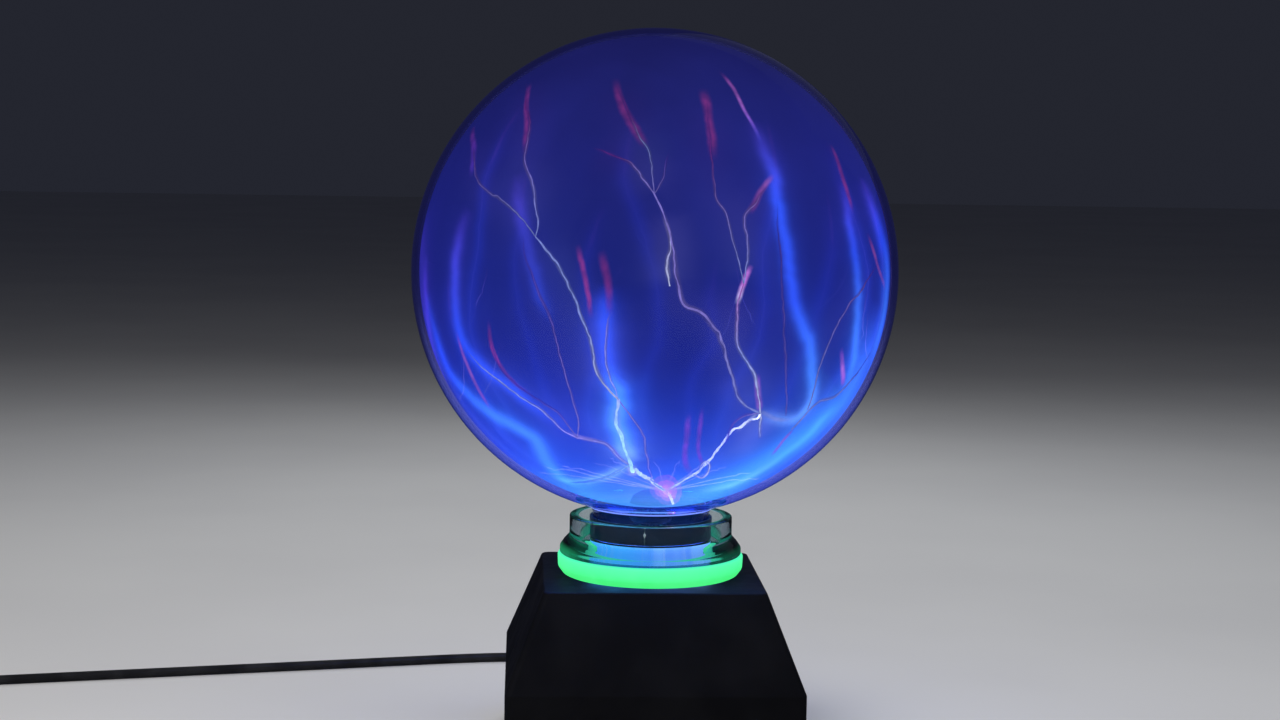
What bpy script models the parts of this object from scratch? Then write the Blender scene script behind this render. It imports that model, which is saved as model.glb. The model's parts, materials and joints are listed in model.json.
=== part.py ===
"""Plasma ball: a gas-filled glass globe on a square base, with an edge-lit collar and a plug-in adapter.

Standalone Blender 4.5 script in metres, +Z up. The origin is on the table, under the globe's axis.
-Y is the front and +Y the rear, where the controls, the power inlet and the cord are.
"""

import math

import bmesh
import bpy
from mathutils import Vector

MM = 0.001
GAP = 0.3 * MM  # clearance between pieces that touch
SHARP_ANGLE = math.radians(35)

# Globe
GLOBE_RADIUS = 101.5 * MM
GLOBE_Z = 204.0 * MM
GLASS = 2.2 * MM
NECK_RADIUS = 24.5 * MM
NECK_FILLET = 5.0 * MM
NECK_BOTTOM = 50.0 * MM
STEM_TOP = 98.0 * MM

# Housing: a square skirt below a square pyramid frustum
WALL = 2.5 * MM
FOOT_HEIGHT = 2.5 * MM
BREAK_Z = 38.0 * MM
TOP_Z = 77.0 * MM
BASE_HALF = 60.7 * MM
TOP_HALF = 45.4 * MM
SLOPE = (BASE_HALF - TOP_HALF) / (TOP_Z - BREAK_Z)
CORNER_RADIUS = 3.0 * MM
PLATE = 2.5 * MM
CORNER_SCREW = 50.0 * MM
CLAMP_SCREW = 33.0 * MM

# Collar
RING_RADIUS = 40.0 * MM
RING_BORE = 28.2 * MM
RING_TOP = 85.4 * MM
SPIGOT_RADIUS = 35.5 * MM
SPIGOT_BOTTOM = 72.0 * MM
COLLAR_RADIUS = 34.3 * MM
COLLAR_BORE = 30.3 * MM
COLLAR_TOP = 101.6 * MM
BAND_RADIUS = 26.2 * MM
BAND_BOTTOM = 92.7 * MM

# Controls on the rear wall
CONTROL_Z = 19.0 * MM
KNOB_X = -30.0 * MM
SWITCH_X = 28.0 * MM
SWITCH_TRAVEL = 6.0 * MM
SHAFT_RADIUS = 3.0 * MM
KNOB_RADIUS = 7.5 * MM

# Electronics
BOARD_BOTTOM = 13.3 * MM
BOARD_TOP = 14.9 * MM
BOARD_Y = -2.0 * MM
TRANSFORMER = Vector((-24.0, 4.0, 26.4)) * MM
CLAMP_BOTTOM = 58.0 * MM
CLAMP_TOP = 63.5 * MM
LED_BOARD_BOTTOM = 63.8 * MM
LED_BOARD_TOP = 65.4 * MM

# Cord and adapter
CORD_RADIUS = 2.1 * MM
CORD_START = 98.5 * MM
COIL_CENTRE = Vector((-332.0, 76.5, 0.0)) * MM
COIL_RADIUS = 22.0 * MM
COIL_BUNDLE = 6.5 * MM
ADAPTER_X = COIL_CENTRE.x - COIL_RADIUS
ADAPTER_HALF_X = 14.0 * MM
ADAPTER_Y = (-32.0 * MM, 28.0 * MM)
ADAPTER_HEIGHT = 40.0 * MM
TAIL_Z = 10.9 * MM

# The lead's route from the plug to the coil, in millimetres
LEAD_ROUTE = [
    (0.0, 98.5, 19.0),
    (0.0, 107.0, 18.8),
    (-0.8, 116.0, 17.6),
    (-3.5, 126.0, 14.9),
    (-8.5, 136.0, 11.2),
    (-16.0, 145.0, 7.6),
    (-26.0, 152.5, 4.9),
    (-38.0, 157.8, 3.1),
    (-51.0, 160.3, 2.4),
    (-65.0, 160.6, 2.3),
    (-85.0, 157.6, 2.3),
    (-110.0, 152.2, 2.3),
    (-143.0, 144.8, 2.3),
    (-176.0, 137.5, 2.3),
    (-210.0, 130.1, 2.3),
    (-245.0, 122.4, 2.3),
    (-280.0, 114.7, 2.3),
    (-300.0, 110.3, 2.3),
    (-321.4, 105.7, 2.3),
]

# name: (colour, roughness, metallic, alpha)
MATERIALS = {
    "black_plastic": ((0.012, 0.012, 0.015), 0.45, 0.0, 1.0),
    "black_rubber": ((0.015, 0.015, 0.015), 0.8, 0.0, 1.0),
    "globe_glass": ((0.75, 0.8, 0.95), 0.03, 0.0, 0.25),
    "green_diffuser": ((0.25, 0.95, 0.45), 0.35, 0.0, 0.9),
    "clear_acrylic": ((0.8, 0.95, 0.92), 0.05, 0.0, 0.3),
    "dark_band": ((0.01, 0.03, 0.05), 0.25, 0.3, 1.0),
    "silver_foil": ((0.8, 0.85, 0.9), 0.2, 1.0, 1.0),
    "steel": ((0.55, 0.56, 0.58), 0.35, 1.0, 1.0),
    "brass": ((0.8, 0.6, 0.3), 0.3, 1.0, 1.0),
    "aluminium": ((0.75, 0.76, 0.78), 0.4, 1.0, 1.0),
    "green_board": ((0.02, 0.18, 0.07), 0.5, 0.0, 1.0),
    "ferrite": ((0.05, 0.05, 0.055), 0.6, 0.0, 1.0),
    "copper_wire": ((0.7, 0.3, 0.12), 0.35, 0.9, 1.0),
    "yellow_tape": ((0.75, 0.6, 0.1), 0.5, 0.0, 1.0),
    "bobbin_plastic": ((0.75, 0.73, 0.65), 0.5, 0.0, 1.0),
    "red_wire": ((0.6, 0.03, 0.02), 0.45, 0.0, 1.0),
    "capacitor_sleeve": ((0.03, 0.05, 0.2), 0.35, 0.0, 1.0),
}


def clear_scene():
    for item in list(bpy.data.objects):
        bpy.data.objects.remove(item)


def material(name):
    if name in bpy.data.materials:
        return bpy.data.materials[name]
    colour, roughness, metallic, alpha = MATERIALS[name]
    made = bpy.data.materials.new(name)
    made.use_nodes = True
    shader = made.node_tree.nodes["Principled BSDF"]
    shader.inputs["Base Color"].default_value = (*colour, 1.0)
    shader.inputs["Roughness"].default_value = roughness
    shader.inputs["Metallic"].default_value = metallic
    shader.inputs["Alpha"].default_value = alpha
    made.diffuse_color = (*colour, alpha)
    return made


def place(name, bm, material_name, location=(0, 0, 0), rotation=(0, 0, 0)):
    """Turns a bmesh into a named object with its material."""
    bmesh.ops.recalc_face_normals(bm, faces=bm.faces)
    mesh = bpy.data.meshes.new(name)
    bm.to_mesh(mesh)
    bm.free()
    mesh.materials.append(material(material_name))
    mesh.shade_smooth()
    mesh.set_sharp_from_angle(angle=SHARP_ANGLE)
    made = bpy.data.objects.new(name, mesh)
    made.location = location
    made.rotation_euler = rotation
    bpy.context.scene.collection.objects.link(made)
    return made


def turned(name, profile, material_name, location=(0, 0, 0), rotation=(0, 0, 0), steps=20):
    """A turned piece. The profile's (radius, height) points form a closed ring, or run from axis to axis."""
    bm = bmesh.new()
    points = [bm.verts.new((radius, 0, height)) for radius, height in profile]
    edges = [bm.edges.new(pair) for pair in zip(points, points[1:])]
    if profile[0][0] > 0:
        edges.append(bm.edges.new((points[-1], points[0])))
    bmesh.ops.spin(
        bm, geom=points + edges, cent=(0, 0, 0), axis=(0, 0, 1), dvec=(0, 0, 0),
        angle=2 * math.pi, steps=steps, use_merge=True, use_duplicate=False,
    )
    bmesh.ops.remove_doubles(bm, verts=bm.verts, dist=0.001 * MM)
    return place(name, bm, material_name, location, rotation)


def extruded(name, outline, low, high, material_name, location=(0, 0, 0), rotation=(0, 0, 0)):
    """A prism over an outline in the XY plane, from height low to height high."""
    bm = bmesh.new()
    face = bm.faces.new([bm.verts.new((x, y, low)) for x, y in outline])
    grown = bmesh.ops.extrude_face_region(bm, geom=[face])
    lifted = [item for item in grown["geom"] if isinstance(item, bmesh.types.BMVert)]
    bmesh.ops.translate(bm, vec=(0, 0, high - low), verts=lifted)
    return place(name, bm, material_name, location, rotation)


def block(name, low, high, material_name, bevel=0.0):
    """A box between two corners, with its edges bevelled."""
    bm = bmesh.new()
    bmesh.ops.create_cube(bm, size=1.0)
    size = Vector(high) - Vector(low)
    bmesh.ops.scale(bm, vec=size, verts=bm.verts)
    if bevel:
        bmesh.ops.bevel(
            bm, geom=bm.edges[:], offset=bevel, offset_type="OFFSET", segments=2, profile=0.5, affect="EDGES",
        )
    return place(name, bm, material_name, location=(Vector(low) + Vector(high)) / 2)


def cylinder_outline(radius, steps, centre=(0.0, 0.0)):
    turn = 2 * math.pi / steps
    return [
        (centre[0] + radius * math.cos(i * turn), centre[1] + radius * math.sin(i * turn))
        for i in range(steps)
    ]


def rounded_square(half_x, half_y, radius, arc_steps=3):
    """The outline of a rectangle with round corners, anticlockwise."""
    outline = []
    for corner, (sign_x, sign_y) in enumerate([(1, 1), (-1, 1), (-1, -1), (1, -1)]):
        for step in range(arc_steps + 1):
            angle = math.radians(90 * (corner + step / arc_steps))
            outline.append((
                sign_x * (half_x - radius) + radius * math.cos(angle),
                sign_y * (half_y - radius) + radius * math.sin(angle),
            ))
    return outline


def arc(centre, radius, start, end, steps):
    """Points (radius, height) along an arc, angles in degrees."""
    return [
        (
            centre[0] + radius * math.cos(math.radians(start + (end - start) * i / steps)),
            centre[1] + radius * math.sin(math.radians(start + (end - start) * i / steps)),
        )
        for i in range(steps + 1)
    ]


def boolean(target, other, operation="DIFFERENCE"):
    """Cuts or joins a helper object, which stays hidden."""
    other.hide_render = True
    other.display_type = "WIRE"
    modifier = target.modifiers.new(other.name, "BOOLEAN")
    modifier.operation = operation
    modifier.solver = "EXACT"
    modifier.object = other


def helper_posts(name, places, radius, low, high, steps=12):
    """Separate round posts in one helper mesh, to join or to cut."""
    bm = bmesh.new()
    for x, y in places:
        face = bm.faces.new([bm.verts.new((px, py, low)) for px, py in cylinder_outline(radius, steps, (x, y))])
        grown = bmesh.ops.extrude_face_region(bm, geom=[face])
        lifted = [item for item in grown["geom"] if isinstance(item, bmesh.types.BMVert)]
        bmesh.ops.translate(bm, vec=(0, 0, high - low), verts=lifted)
    return place(name, bm, "black_plastic")


def four_corners(half_x, half_y=None, centre_y=0.0):
    half_y = half_x if half_y is None else half_y
    return [(sx * half_x, centre_y + sy * half_y) for sx in (-1, 1) for sy in (-1, 1)]


def rear_facing(x, y):
    """Location and rotation that turn a piece's own +Z to the rear, at a control's height."""
    return {"location": (x, y, CONTROL_Z), "rotation": (math.radians(-90), 0, 0)}


def screw(name, x, y, head_z, tip_z, head_radius=3.0 * MM, shank_radius=1.2 * MM):
    """A pan-head screw driven along Z, with its head at head_z and its tip at tip_z."""
    up = 1 if tip_z > head_z else -1
    head = 1.8 * MM * up
    profile = [
        (0.0, head_z),
        (0.8 * head_radius, head_z),
        (head_radius, head_z + 0.35 * head),
        (head_radius, head_z + head),
        (shank_radius, head_z + head),
        (shank_radius, tip_z - up * shank_radius),
        (0.0, tip_z),
    ]
    return turned(name, profile, "steel", location=(x, y, 0), steps=12)


# ---- Globe ----


def globe_profile():
    """The glass wall's section: sphere, fillet and neck, outside first and then inside."""
    centre_r = NECK_RADIUS + NECK_FILLET
    reach = GLOBE_RADIUS + NECK_FILLET
    centre_z = GLOBE_Z - math.sqrt(reach**2 - centre_r**2)
    meet = math.degrees(math.asin(centre_r / reach))
    outer_sphere = arc((0, GLOBE_Z), GLOBE_RADIUS, 90, meet - 90, 13)
    inner_sphere = arc((0, GLOBE_Z), GLOBE_RADIUS - GLASS, meet - 90, 90, 13)
    outer_fillet = arc((centre_r, centre_z), NECK_FILLET, 90 + meet, 180, 3)
    inner_fillet = arc((centre_r, centre_z), NECK_FILLET + GLASS, 180, 90 + meet, 3)
    rim = [(NECK_RADIUS, NECK_BOTTOM), (NECK_RADIUS - GLASS, NECK_BOTTOM)]
    profile = outer_sphere + outer_fillet[1:] + rim + inner_fillet + inner_sphere[1:]
    profile[0] = (0.0, GLOBE_Z + GLOBE_RADIUS)
    profile[-1] = (0.0, GLOBE_Z + GLOBE_RADIUS - GLASS)
    return profile


def globe():
    turned("glass_globe", globe_profile(), "globe_glass", steps=32)
    stem_edge = NECK_RADIUS - GLASS - GAP
    bore = 1.2 * MM
    stem = turned("glass_stem", [
        (bore, STEM_TOP),
        (5.0 * MM, STEM_TOP),
        (5.0 * MM, 76.0 * MM),
        (7.0 * MM, 66.0 * MM),
        (14.0 * MM, 57.5 * MM),
        (stem_edge, 54.0 * MM),
        (stem_edge, NECK_BOTTOM + GAP),
        (bore, NECK_BOTTOM + GAP),
    ], "globe_glass")
    tip = turned("exhaust_tip", [
        (0.0, 52.0 * MM),
        (2.6 * MM, 52.0 * MM),
        (2.6 * MM, 43.0 * MM),
        (1.6 * MM, 40.0 * MM),
        (0.0, 39.0 * MM),
    ], "globe_glass", location=(12.0 * MM, 0, 0), steps=12)
    boolean(stem, tip, "UNION")
    cap_bottom = STEM_TOP + GAP
    turned("electrode", [
        (0.0, 112.0 * MM),
        (4.0 * MM, 111.3 * MM),
        (7.2 * MM, 109.2 * MM),
        (9.0 * MM, 106.0 * MM),
        (9.4 * MM, 102.5 * MM),
        (8.6 * MM, 99.5 * MM),
        (6.5 * MM, cap_bottom),
        (1.3 * MM, cap_bottom),
        (1.3 * MM, 104.5 * MM),
        (0.0, 104.5 * MM),
    ], "steel")
    turned("feedthrough_pin", [
        (0.0, 104.0 * MM),
        (0.8 * MM, 104.0 * MM),
        (0.8 * MM, 34.0 * MM),
        (0.0, 34.0 * MM),
    ], "steel", steps=10)
    sleeve = NECK_RADIUS + GAP
    turned("neck_band", [
        (sleeve, BAND_BOTTOM),
        (BAND_RADIUS, BAND_BOTTOM),
        (BAND_RADIUS, 101.2 * MM),
        (sleeve, 101.2 * MM),
    ], "dark_band", steps=32)
    turned("neck_foil", [
        (sleeve, 70.0 * MM),
        (BAND_RADIUS - 0.2 * MM, 70.0 * MM),
        (BAND_RADIUS - 0.2 * MM, BAND_BOTTOM - GAP),
        (sleeve, BAND_BOTTOM - GAP),
    ], "silver_foil", steps=32)


# ---- Collar and its lights ----


def collar():
    turned("light_ring", [
        (RING_BORE, SPIGOT_BOTTOM),
        (SPIGOT_RADIUS, SPIGOT_BOTTOM),
        (SPIGOT_RADIUS, TOP_Z + GAP),
        (RING_RADIUS - 0.6 * MM, TOP_Z + GAP),
        (RING_RADIUS, TOP_Z + 1.0 * MM),
        (RING_RADIUS, RING_TOP - 0.8 * MM),
        (RING_RADIUS - 0.8 * MM, RING_TOP),
        (RING_BORE, RING_TOP),
    ], "green_diffuser", steps=32)
    foot = RING_TOP + GAP
    turned("clear_collar", [
        (COLLAR_BORE, foot),
        (38.4 * MM, foot),
        (38.9 * MM, foot + 0.5 * MM),
        (38.9 * MM, 88.2 * MM),
        (37.4 * MM, 90.2 * MM),
        (35.1 * MM, 92.2 * MM),
        (COLLAR_RADIUS, 94.8 * MM),
        (COLLAR_RADIUS, COLLAR_TOP - 0.6 * MM),
        (COLLAR_RADIUS - 0.6 * MM, COLLAR_TOP),
        (COLLAR_BORE + 0.6 * MM, COLLAR_TOP),
        (COLLAR_BORE, COLLAR_TOP - 0.6 * MM),
    ], "clear_acrylic", steps=32)
    board_edge = SPIGOT_RADIUS - 0.1 * MM
    turned("led_board", [
        (27.2 * MM, LED_BOARD_BOTTOM),
        (board_edge, LED_BOARD_BOTTOM),
        (board_edge, LED_BOARD_TOP),
        (27.2 * MM, LED_BOARD_TOP),
    ], "green_board", steps=32)
    foot = LED_BOARD_TOP + GAP
    for number in range(4):
        angle = math.radians(45 + 90 * number)
        turned(f"led_{number + 1}", [
            (0.0, 71.4 * MM),
            (1.5 * MM, 70.9 * MM),
            (2.5 * MM, 69.2 * MM),
            (2.5 * MM, foot + 1.0 * MM),
            (2.9 * MM, foot + 1.0 * MM),
            (2.9 * MM, foot),
            (0.0, foot),
        ], "green_diffuser", location=(31.3 * MM * math.cos(angle), 31.3 * MM * math.sin(angle), 0), steps=12)
    clamp = extruded(
        "neck_clamp", rounded_square(38.0 * MM, 38.0 * MM, 6.0 * MM), CLAMP_BOTTOM, CLAMP_TOP, "black_plastic",
    )
    mouth = helper_posts("clamp_mouth", [(0, 0)], NECK_RADIUS + 1.3 * GAP, 50.0 * MM, 70.0 * MM, steps=32)
    boolean(clamp, mouth)
    boolean(clamp, helper_posts("clamp_holes", four_corners(CLAMP_SCREW), 1.7 * MM, 50.0 * MM, 70.0 * MM))
    for number, (x, y) in enumerate(four_corners(CLAMP_SCREW)):
        screw(f"clamp_screw_{number + 1}", x, y, CLAMP_BOTTOM - GAP - 1.8 * MM, 70.5 * MM)


# ---- Housing ----


def housing_shell():
    """The outer skin from its top to its open bottom rim, then the inner skin back up: one closed surface."""
    inner_top = TOP_Z - WALL
    lean = WALL * math.sqrt(1 + SLOPE**2)
    inner_half = BASE_HALF - WALL
    inner_top_half = TOP_HALF + SLOPE * WALL - lean
    sections = [
        (TOP_HALF - 0.9 * MM, TOP_Z, 2.2 * MM),
        (TOP_HALF + 0.1 * MM, TOP_Z - 0.8 * MM, 2.5 * MM),
        (BASE_HALF - 0.1 * MM, BREAK_Z + 0.5 * MM, CORNER_RADIUS),
        (BASE_HALF, BREAK_Z - 0.8 * MM, CORNER_RADIUS),
        (BASE_HALF, FOOT_HEIGHT, CORNER_RADIUS),
        (inner_half, FOOT_HEIGHT, 1.2 * MM),
        (inner_half, BREAK_Z - 1.0 * MM, 1.2 * MM),
        (inner_top_half, inner_top, 1.0 * MM),
    ]
    bm = bmesh.new()
    rings = [
        [bm.verts.new((x, y, z)) for x, y in rounded_square(half, half, radius)]
        for half, z, radius in sections
    ]
    bm.faces.new(rings[0])
    bm.faces.new(rings[-1])
    for upper, lower in zip(rings, rings[1:]):
        for i in range(len(upper)):
            j = (i + 1) % len(upper)
            bm.faces.new((upper[i], upper[j], lower[j], lower[i]))
    return place("housing", bm, "black_plastic")


def housing():
    shell = housing_shell()
    seat = FOOT_HEIGHT + PLATE + GAP
    boolean(shell, helper_posts("corner_posts", four_corners(CORNER_SCREW), 4.0 * MM, seat, 52.0 * MM), "UNION")
    boolean(shell, helper_posts(
        "clamp_posts", four_corners(CLAMP_SCREW), 3.6 * MM, CLAMP_TOP + GAP, TOP_Z - 1.5 * MM), "UNION")
    boolean(shell, helper_posts("corner_pilots", four_corners(CORNER_SCREW), 1.5 * MM, 0.0, 18.0 * MM))
    boolean(shell, helper_posts("clamp_pilots", four_corners(CLAMP_SCREW), 1.5 * MM, 60.0 * MM, 72.0 * MM))
    boolean(shell, helper_posts(
        "neck_hole", [(0, 0)], SPIGOT_RADIUS + 2 * GAP, 70.0 * MM, 90.0 * MM, steps=32))
    for name, x, radius in (("jack_hole", 0.0, 5.8 * MM), ("shaft_hole", KNOB_X, 4.6 * MM)):
        cutter = extruded(
            name, cylinder_outline(radius, 20), 0.0, 10.0 * MM, "black_plastic", **rear_facing(x, 54.0 * MM),
        )
        boolean(shell, cutter)
    slot = block(
        "switch_slot",
        (SWITCH_X - 2.0 * MM, 54.0 * MM, CONTROL_Z - 1.9 * MM),
        (SWITCH_X + 2.0 * MM + SWITCH_TRAVEL, 64.0 * MM, CONTROL_Z + 1.9 * MM),
        "black_plastic",
    )
    boolean(shell, slot)


def base_plate():
    half = BASE_HALF - WALL - GAP
    plate = extruded(
        "base_plate", rounded_square(half, half, 1.2 * MM), FOOT_HEIGHT, FOOT_HEIGHT + PLATE, "black_plastic",
    )
    board_posts = four_corners(37.0 * MM, 30.0 * MM, BOARD_Y)
    boolean(plate, helper_posts(
        "board_posts", board_posts, 3.0 * MM, FOOT_HEIGHT + 1.0 * MM, BOARD_BOTTOM - GAP), "UNION")
    boolean(plate, helper_posts("board_pilots", board_posts, 1.4 * MM, 6.5 * MM, 20.0 * MM))
    boolean(plate, helper_posts("plate_holes", four_corners(CORNER_SCREW), 1.7 * MM, 0.0, 10.0 * MM))
    for number, (x, y) in enumerate(four_corners(CORNER_SCREW)):
        screw(f"housing_screw_{number + 1}", x, y, 0.4 * MM, 15.0 * MM)
    for number, (x, y) in enumerate(four_corners(40.0 * MM)):
        turned(f"foot_{number + 1}", [
            (0.0, FOOT_HEIGHT - GAP),
            (6.5 * MM, FOOT_HEIGHT - GAP),
            (6.5 * MM, 0.6 * MM),
            (5.9 * MM, 0.0),
            (0.0, 0.0),
        ], "black_rubber", location=(x, y, 0), steps=16)


# ---- Electronics ----


def main_board():
    outline = [(x, y + BOARD_Y) for x, y in rounded_square(45.0 * MM, 37.0 * MM, 2.0 * MM)]
    board = extruded("main_board", outline, BOARD_BOTTOM, BOARD_TOP, "green_board")
    holes = four_corners(37.0 * MM, 30.0 * MM, BOARD_Y)
    boolean(board, helper_posts("board_holes", holes, 1.7 * MM, 10.0 * MM, 20.0 * MM))
    for number, (x, y) in enumerate((holes[0], holes[3])):
        screw(
            f"board_screw_{number + 1}", x, y, BOARD_TOP + GAP + 1.8 * MM, 7.5 * MM,
            head_radius=2.6 * MM, shank_radius=1.1 * MM,
        )


def transformer():
    """A ferrite transformer lying along Y: two E-shaped core halves, a bobbin and its two windings."""
    core_half = 17.0 * MM
    leg_half = 4.5 * MM
    window = 11.5 * MM
    back = 11.0 * MM
    meeting = GAP / 2
    outline = [
        (-core_half, meeting), (-window, meeting), (-window, back), (-leg_half, back),
        (-leg_half, meeting), (leg_half, meeting), (leg_half, back), (window, back),
        (window, meeting), (core_half, meeting), (core_half, core_half), (-core_half, core_half),
    ]
    for name, side in (("core_half_rear", 1), ("core_half_front", -1)):
        points = [(x, side * y) for x, y in outline]
        extruded(name, points, -leg_half, leg_half, "ferrite", location=TRANSFORMER)
    along_y = {"location": TRANSFORMER, "rotation": (math.radians(-90), 0, 0)}
    bore, tube, flange = 6.7 * MM, 7.6 * MM, 11.2 * MM
    turned("bobbin", [
        (bore, -10.7 * MM), (flange, -10.7 * MM), (flange, -9.5 * MM), (tube, -9.5 * MM),
        (tube, -4.6 * MM), (flange, -4.6 * MM), (flange, -3.4 * MM), (tube, -3.4 * MM),
        (tube, 9.5 * MM), (flange, 9.5 * MM), (flange, 10.7 * MM), (bore, 10.7 * MM),
    ], "bobbin_plastic", **along_y)
    for name, low, high, radius, finish in (
        ("primary_winding", -9.2 * MM, -4.9 * MM, 10.2 * MM, "copper_wire"),
        ("secondary_winding", -3.1 * MM, 9.2 * MM, 10.8 * MM, "yellow_tape"),
    ):
        wound = [(tube + GAP, low), (radius, low), (radius, high), (tube + GAP, high)]
        turned(name, wound, finish, **along_y)


def high_voltage_lead():
    """The brass cap on the feed-through pin, and the lead from the secondary winding to it."""
    turned("contact_cap", [
        (0.0, 33.5 * MM), (1.1 * MM, 33.5 * MM), (1.1 * MM, 38.5 * MM), (3.6 * MM, 38.5 * MM),
        (4.2 * MM, 37.5 * MM), (4.2 * MM, 30.0 * MM), (0.0, 30.0 * MM),
    ], "brass", steps=16)
    route = [
        (-5.0, 0.0, 34.0), (-8.5, 0.6, 35.4), (-13.0, 2.6, 39.4), (-18.0, 5.2, 42.6), (-22.0, 6.6, 42.6),
        (-23.8, 7.0, 40.5), (-24.0, 7.0, 37.6),
    ]
    tube("hv_lead", smooth_route(route, 3.0), 1.2 * MM, "red_wire")


def heatsink():
    """Five fins on a plate that stands on the board, with the power transistor against the plate's back."""
    back, plate_front, fin_tips = 22.0 * MM, 24.5 * MM, 36.0 * MM
    fin_pitch = 6.0 * MM
    fin_half = 0.75 * MM
    middle_y = -6.0 * MM
    fins = [number * fin_pitch for number in (2, 1, 0, -1, -2)]
    outline = [(back, fins[-1] - fin_half), (back, fins[0] + fin_half)]
    for fin in fins:
        outline += [
            (plate_front, fin + fin_half), (fin_tips, fin + fin_half),
            (fin_tips, fin - fin_half), (plate_front, fin - fin_half),
        ]
    outline = [p for p in outline if p not in ((plate_front, fins[0] + fin_half), (plate_front, fins[-1] - fin_half))]
    extruded("heatsink", outline, BOARD_TOP + GAP, 38.0 * MM, "aluminium", location=(0, middle_y, 0))
    thickness, tab, half_width = 4.4, 3.1, 5.0 * MM
    package = [(0.0, 0.0), (thickness, 0.0), (thickness, 16.0), (tab, 16.0), (tab, 9.4), (0.0, 9.0)]
    extruded(
        "power_transistor", [(x * MM, z * MM) for x, z in package], -half_width, half_width, "black_plastic",
        location=(back - GAP - thickness * MM, middle_y, 17.0 * MM), rotation=(math.radians(90), 0, 0),
    )


def small_parts():
    foot = BOARD_TOP + GAP
    turned("electrolytic_capacitor", [
        (0.0, 28.0 * MM), (4.4 * MM, 28.0 * MM), (5.0 * MM, 27.4 * MM), (5.0 * MM, foot + 2.4 * MM),
        (4.5 * MM, foot + 1.9 * MM), (5.0 * MM, foot + 1.4 * MM), (5.0 * MM, foot), (0.0, foot),
    ], "capacitor_sleeve", location=(8.0 * MM, -27.0 * MM, 0), steps=20)
    block("film_capacitor", (-20.0 * MM, -31.0 * MM, foot), (-7.0 * MM, -25.0 * MM, foot + 11.0 * MM),
          "red_wire", bevel=0.8 * MM)
    block("timer_ic", (3.5 * MM, -9.0 * MM, foot), (13.3 * MM, -2.6 * MM, foot + 3.4 * MM),
          "black_plastic", bevel=0.3 * MM)
    turned("microphone", [
        (0.0, foot + 5.2 * MM), (4.4 * MM, foot + 5.2 * MM), (4.8 * MM, foot + 4.8 * MM),
        (4.8 * MM, foot), (0.0, foot),
    ], "aluminium", location=(24.0 * MM, 27.0 * MM, 0), steps=20)


# ---- Controls and inlet on the rear wall ----


def sensitivity_control():
    """A potentiometer behind the wall, its shaft through the wall, and the knob. Heights run to the rear."""
    inside = BASE_HALF - WALL - GAP
    body = rear_facing(KNOB_X, inside)
    bore = SHAFT_RADIUS + GAP
    turned("potentiometer", [
        (0.0, -9.0 * MM), (bore, -9.0 * MM), (bore, 3.2 * MM), (4.2 * MM, 3.2 * MM),
        (4.2 * MM, 0.0), (8.0 * MM, 0.0), (8.0 * MM, -10.5 * MM), (0.0, -10.5 * MM),
    ], "steel", steps=20, **body)
    turned("pot_shaft", [
        (0.0, -8.7 * MM), (SHAFT_RADIUS, -8.7 * MM), (SHAFT_RADIUS, 11.0 * MM), (0.0, 11.0 * MM),
    ], "steel", steps=20, **body)
    turned("sensitivity_knob", [
        (bore, 0.0), (KNOB_RADIUS - 0.4 * MM, 0.0), (KNOB_RADIUS, 0.6 * MM), (KNOB_RADIUS - 0.6 * MM, 9.0 * MM),
        (KNOB_RADIUS - 1.4 * MM, 10.0 * MM), (0.0, 10.0 * MM), (0.0, 8.0 * MM), (bore, 8.0 * MM),
    ], "black_plastic", steps=24, **rear_facing(KNOB_X, BASE_HALF + 1.0 * MM))


def mode_switch():
    """A slide switch: a body with a pocket behind the wall, and the slider that sticks out through the slot."""
    inside = BASE_HALF - WALL - GAP
    middle = SWITCH_X + SWITCH_TRAVEL / 2
    body = block(
        "switch_body",
        (middle - 8.5 * MM, inside - 7.0 * MM, CONTROL_Z - 3.6 * MM),
        (middle + 8.5 * MM, inside, CONTROL_Z + 3.6 * MM),
        "steel", bevel=0.4 * MM,
    )
    pocket = block(
        "switch_pocket",
        (SWITCH_X - 2.0 * MM, inside - 3.0 * MM, CONTROL_Z - 1.9 * MM),
        (SWITCH_X + 2.0 * MM + SWITCH_TRAVEL, inside + 2.0 * MM, CONTROL_Z + 1.9 * MM),
        "steel",
    )
    boolean(body, pocket)
    block(
        "mode_slider",
        (SWITCH_X - 1.6 * MM, inside - 2.7 * MM, CONTROL_Z - 1.5 * MM),
        (SWITCH_X + 1.6 * MM, BASE_HALF + 2.4 * MM, CONTROL_Z + 1.5 * MM),
        "black_plastic", bevel=0.3 * MM,
    )


def power_inlet():
    """A round power jack through the rear wall: its centre pin stands in its bore. Heights run to the rear."""
    turned("dc_jack", [
        (0.0, 0.6 * MM), (0.5 * MM, 0.6 * MM), (0.85 * MM, 0.0), (0.85 * MM, -9.5 * MM), (3.1 * MM, -9.5 * MM),
        (3.1 * MM, 1.6 * MM), (6.6 * MM, 1.6 * MM), (7.2 * MM, 1.1 * MM), (7.2 * MM, GAP), (5.4 * MM, GAP),
        (5.4 * MM, -12.0 * MM), (0.0, -12.0 * MM),
    ], "black_plastic", steps=20, **rear_facing(0.0, BASE_HALF))
    turned("jack_nut", [
        (5.7 * MM, -WALL - GAP), (5.7 * MM, -WALL - GAP - 2.2 * MM),
        (8.2 * MM, -WALL - GAP - 2.2 * MM), (8.2 * MM, -WALL - GAP),
    ], "steel", steps=20, **rear_facing(0.0, BASE_HALF))


# ---- Cord, plug and adapter ----


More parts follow.
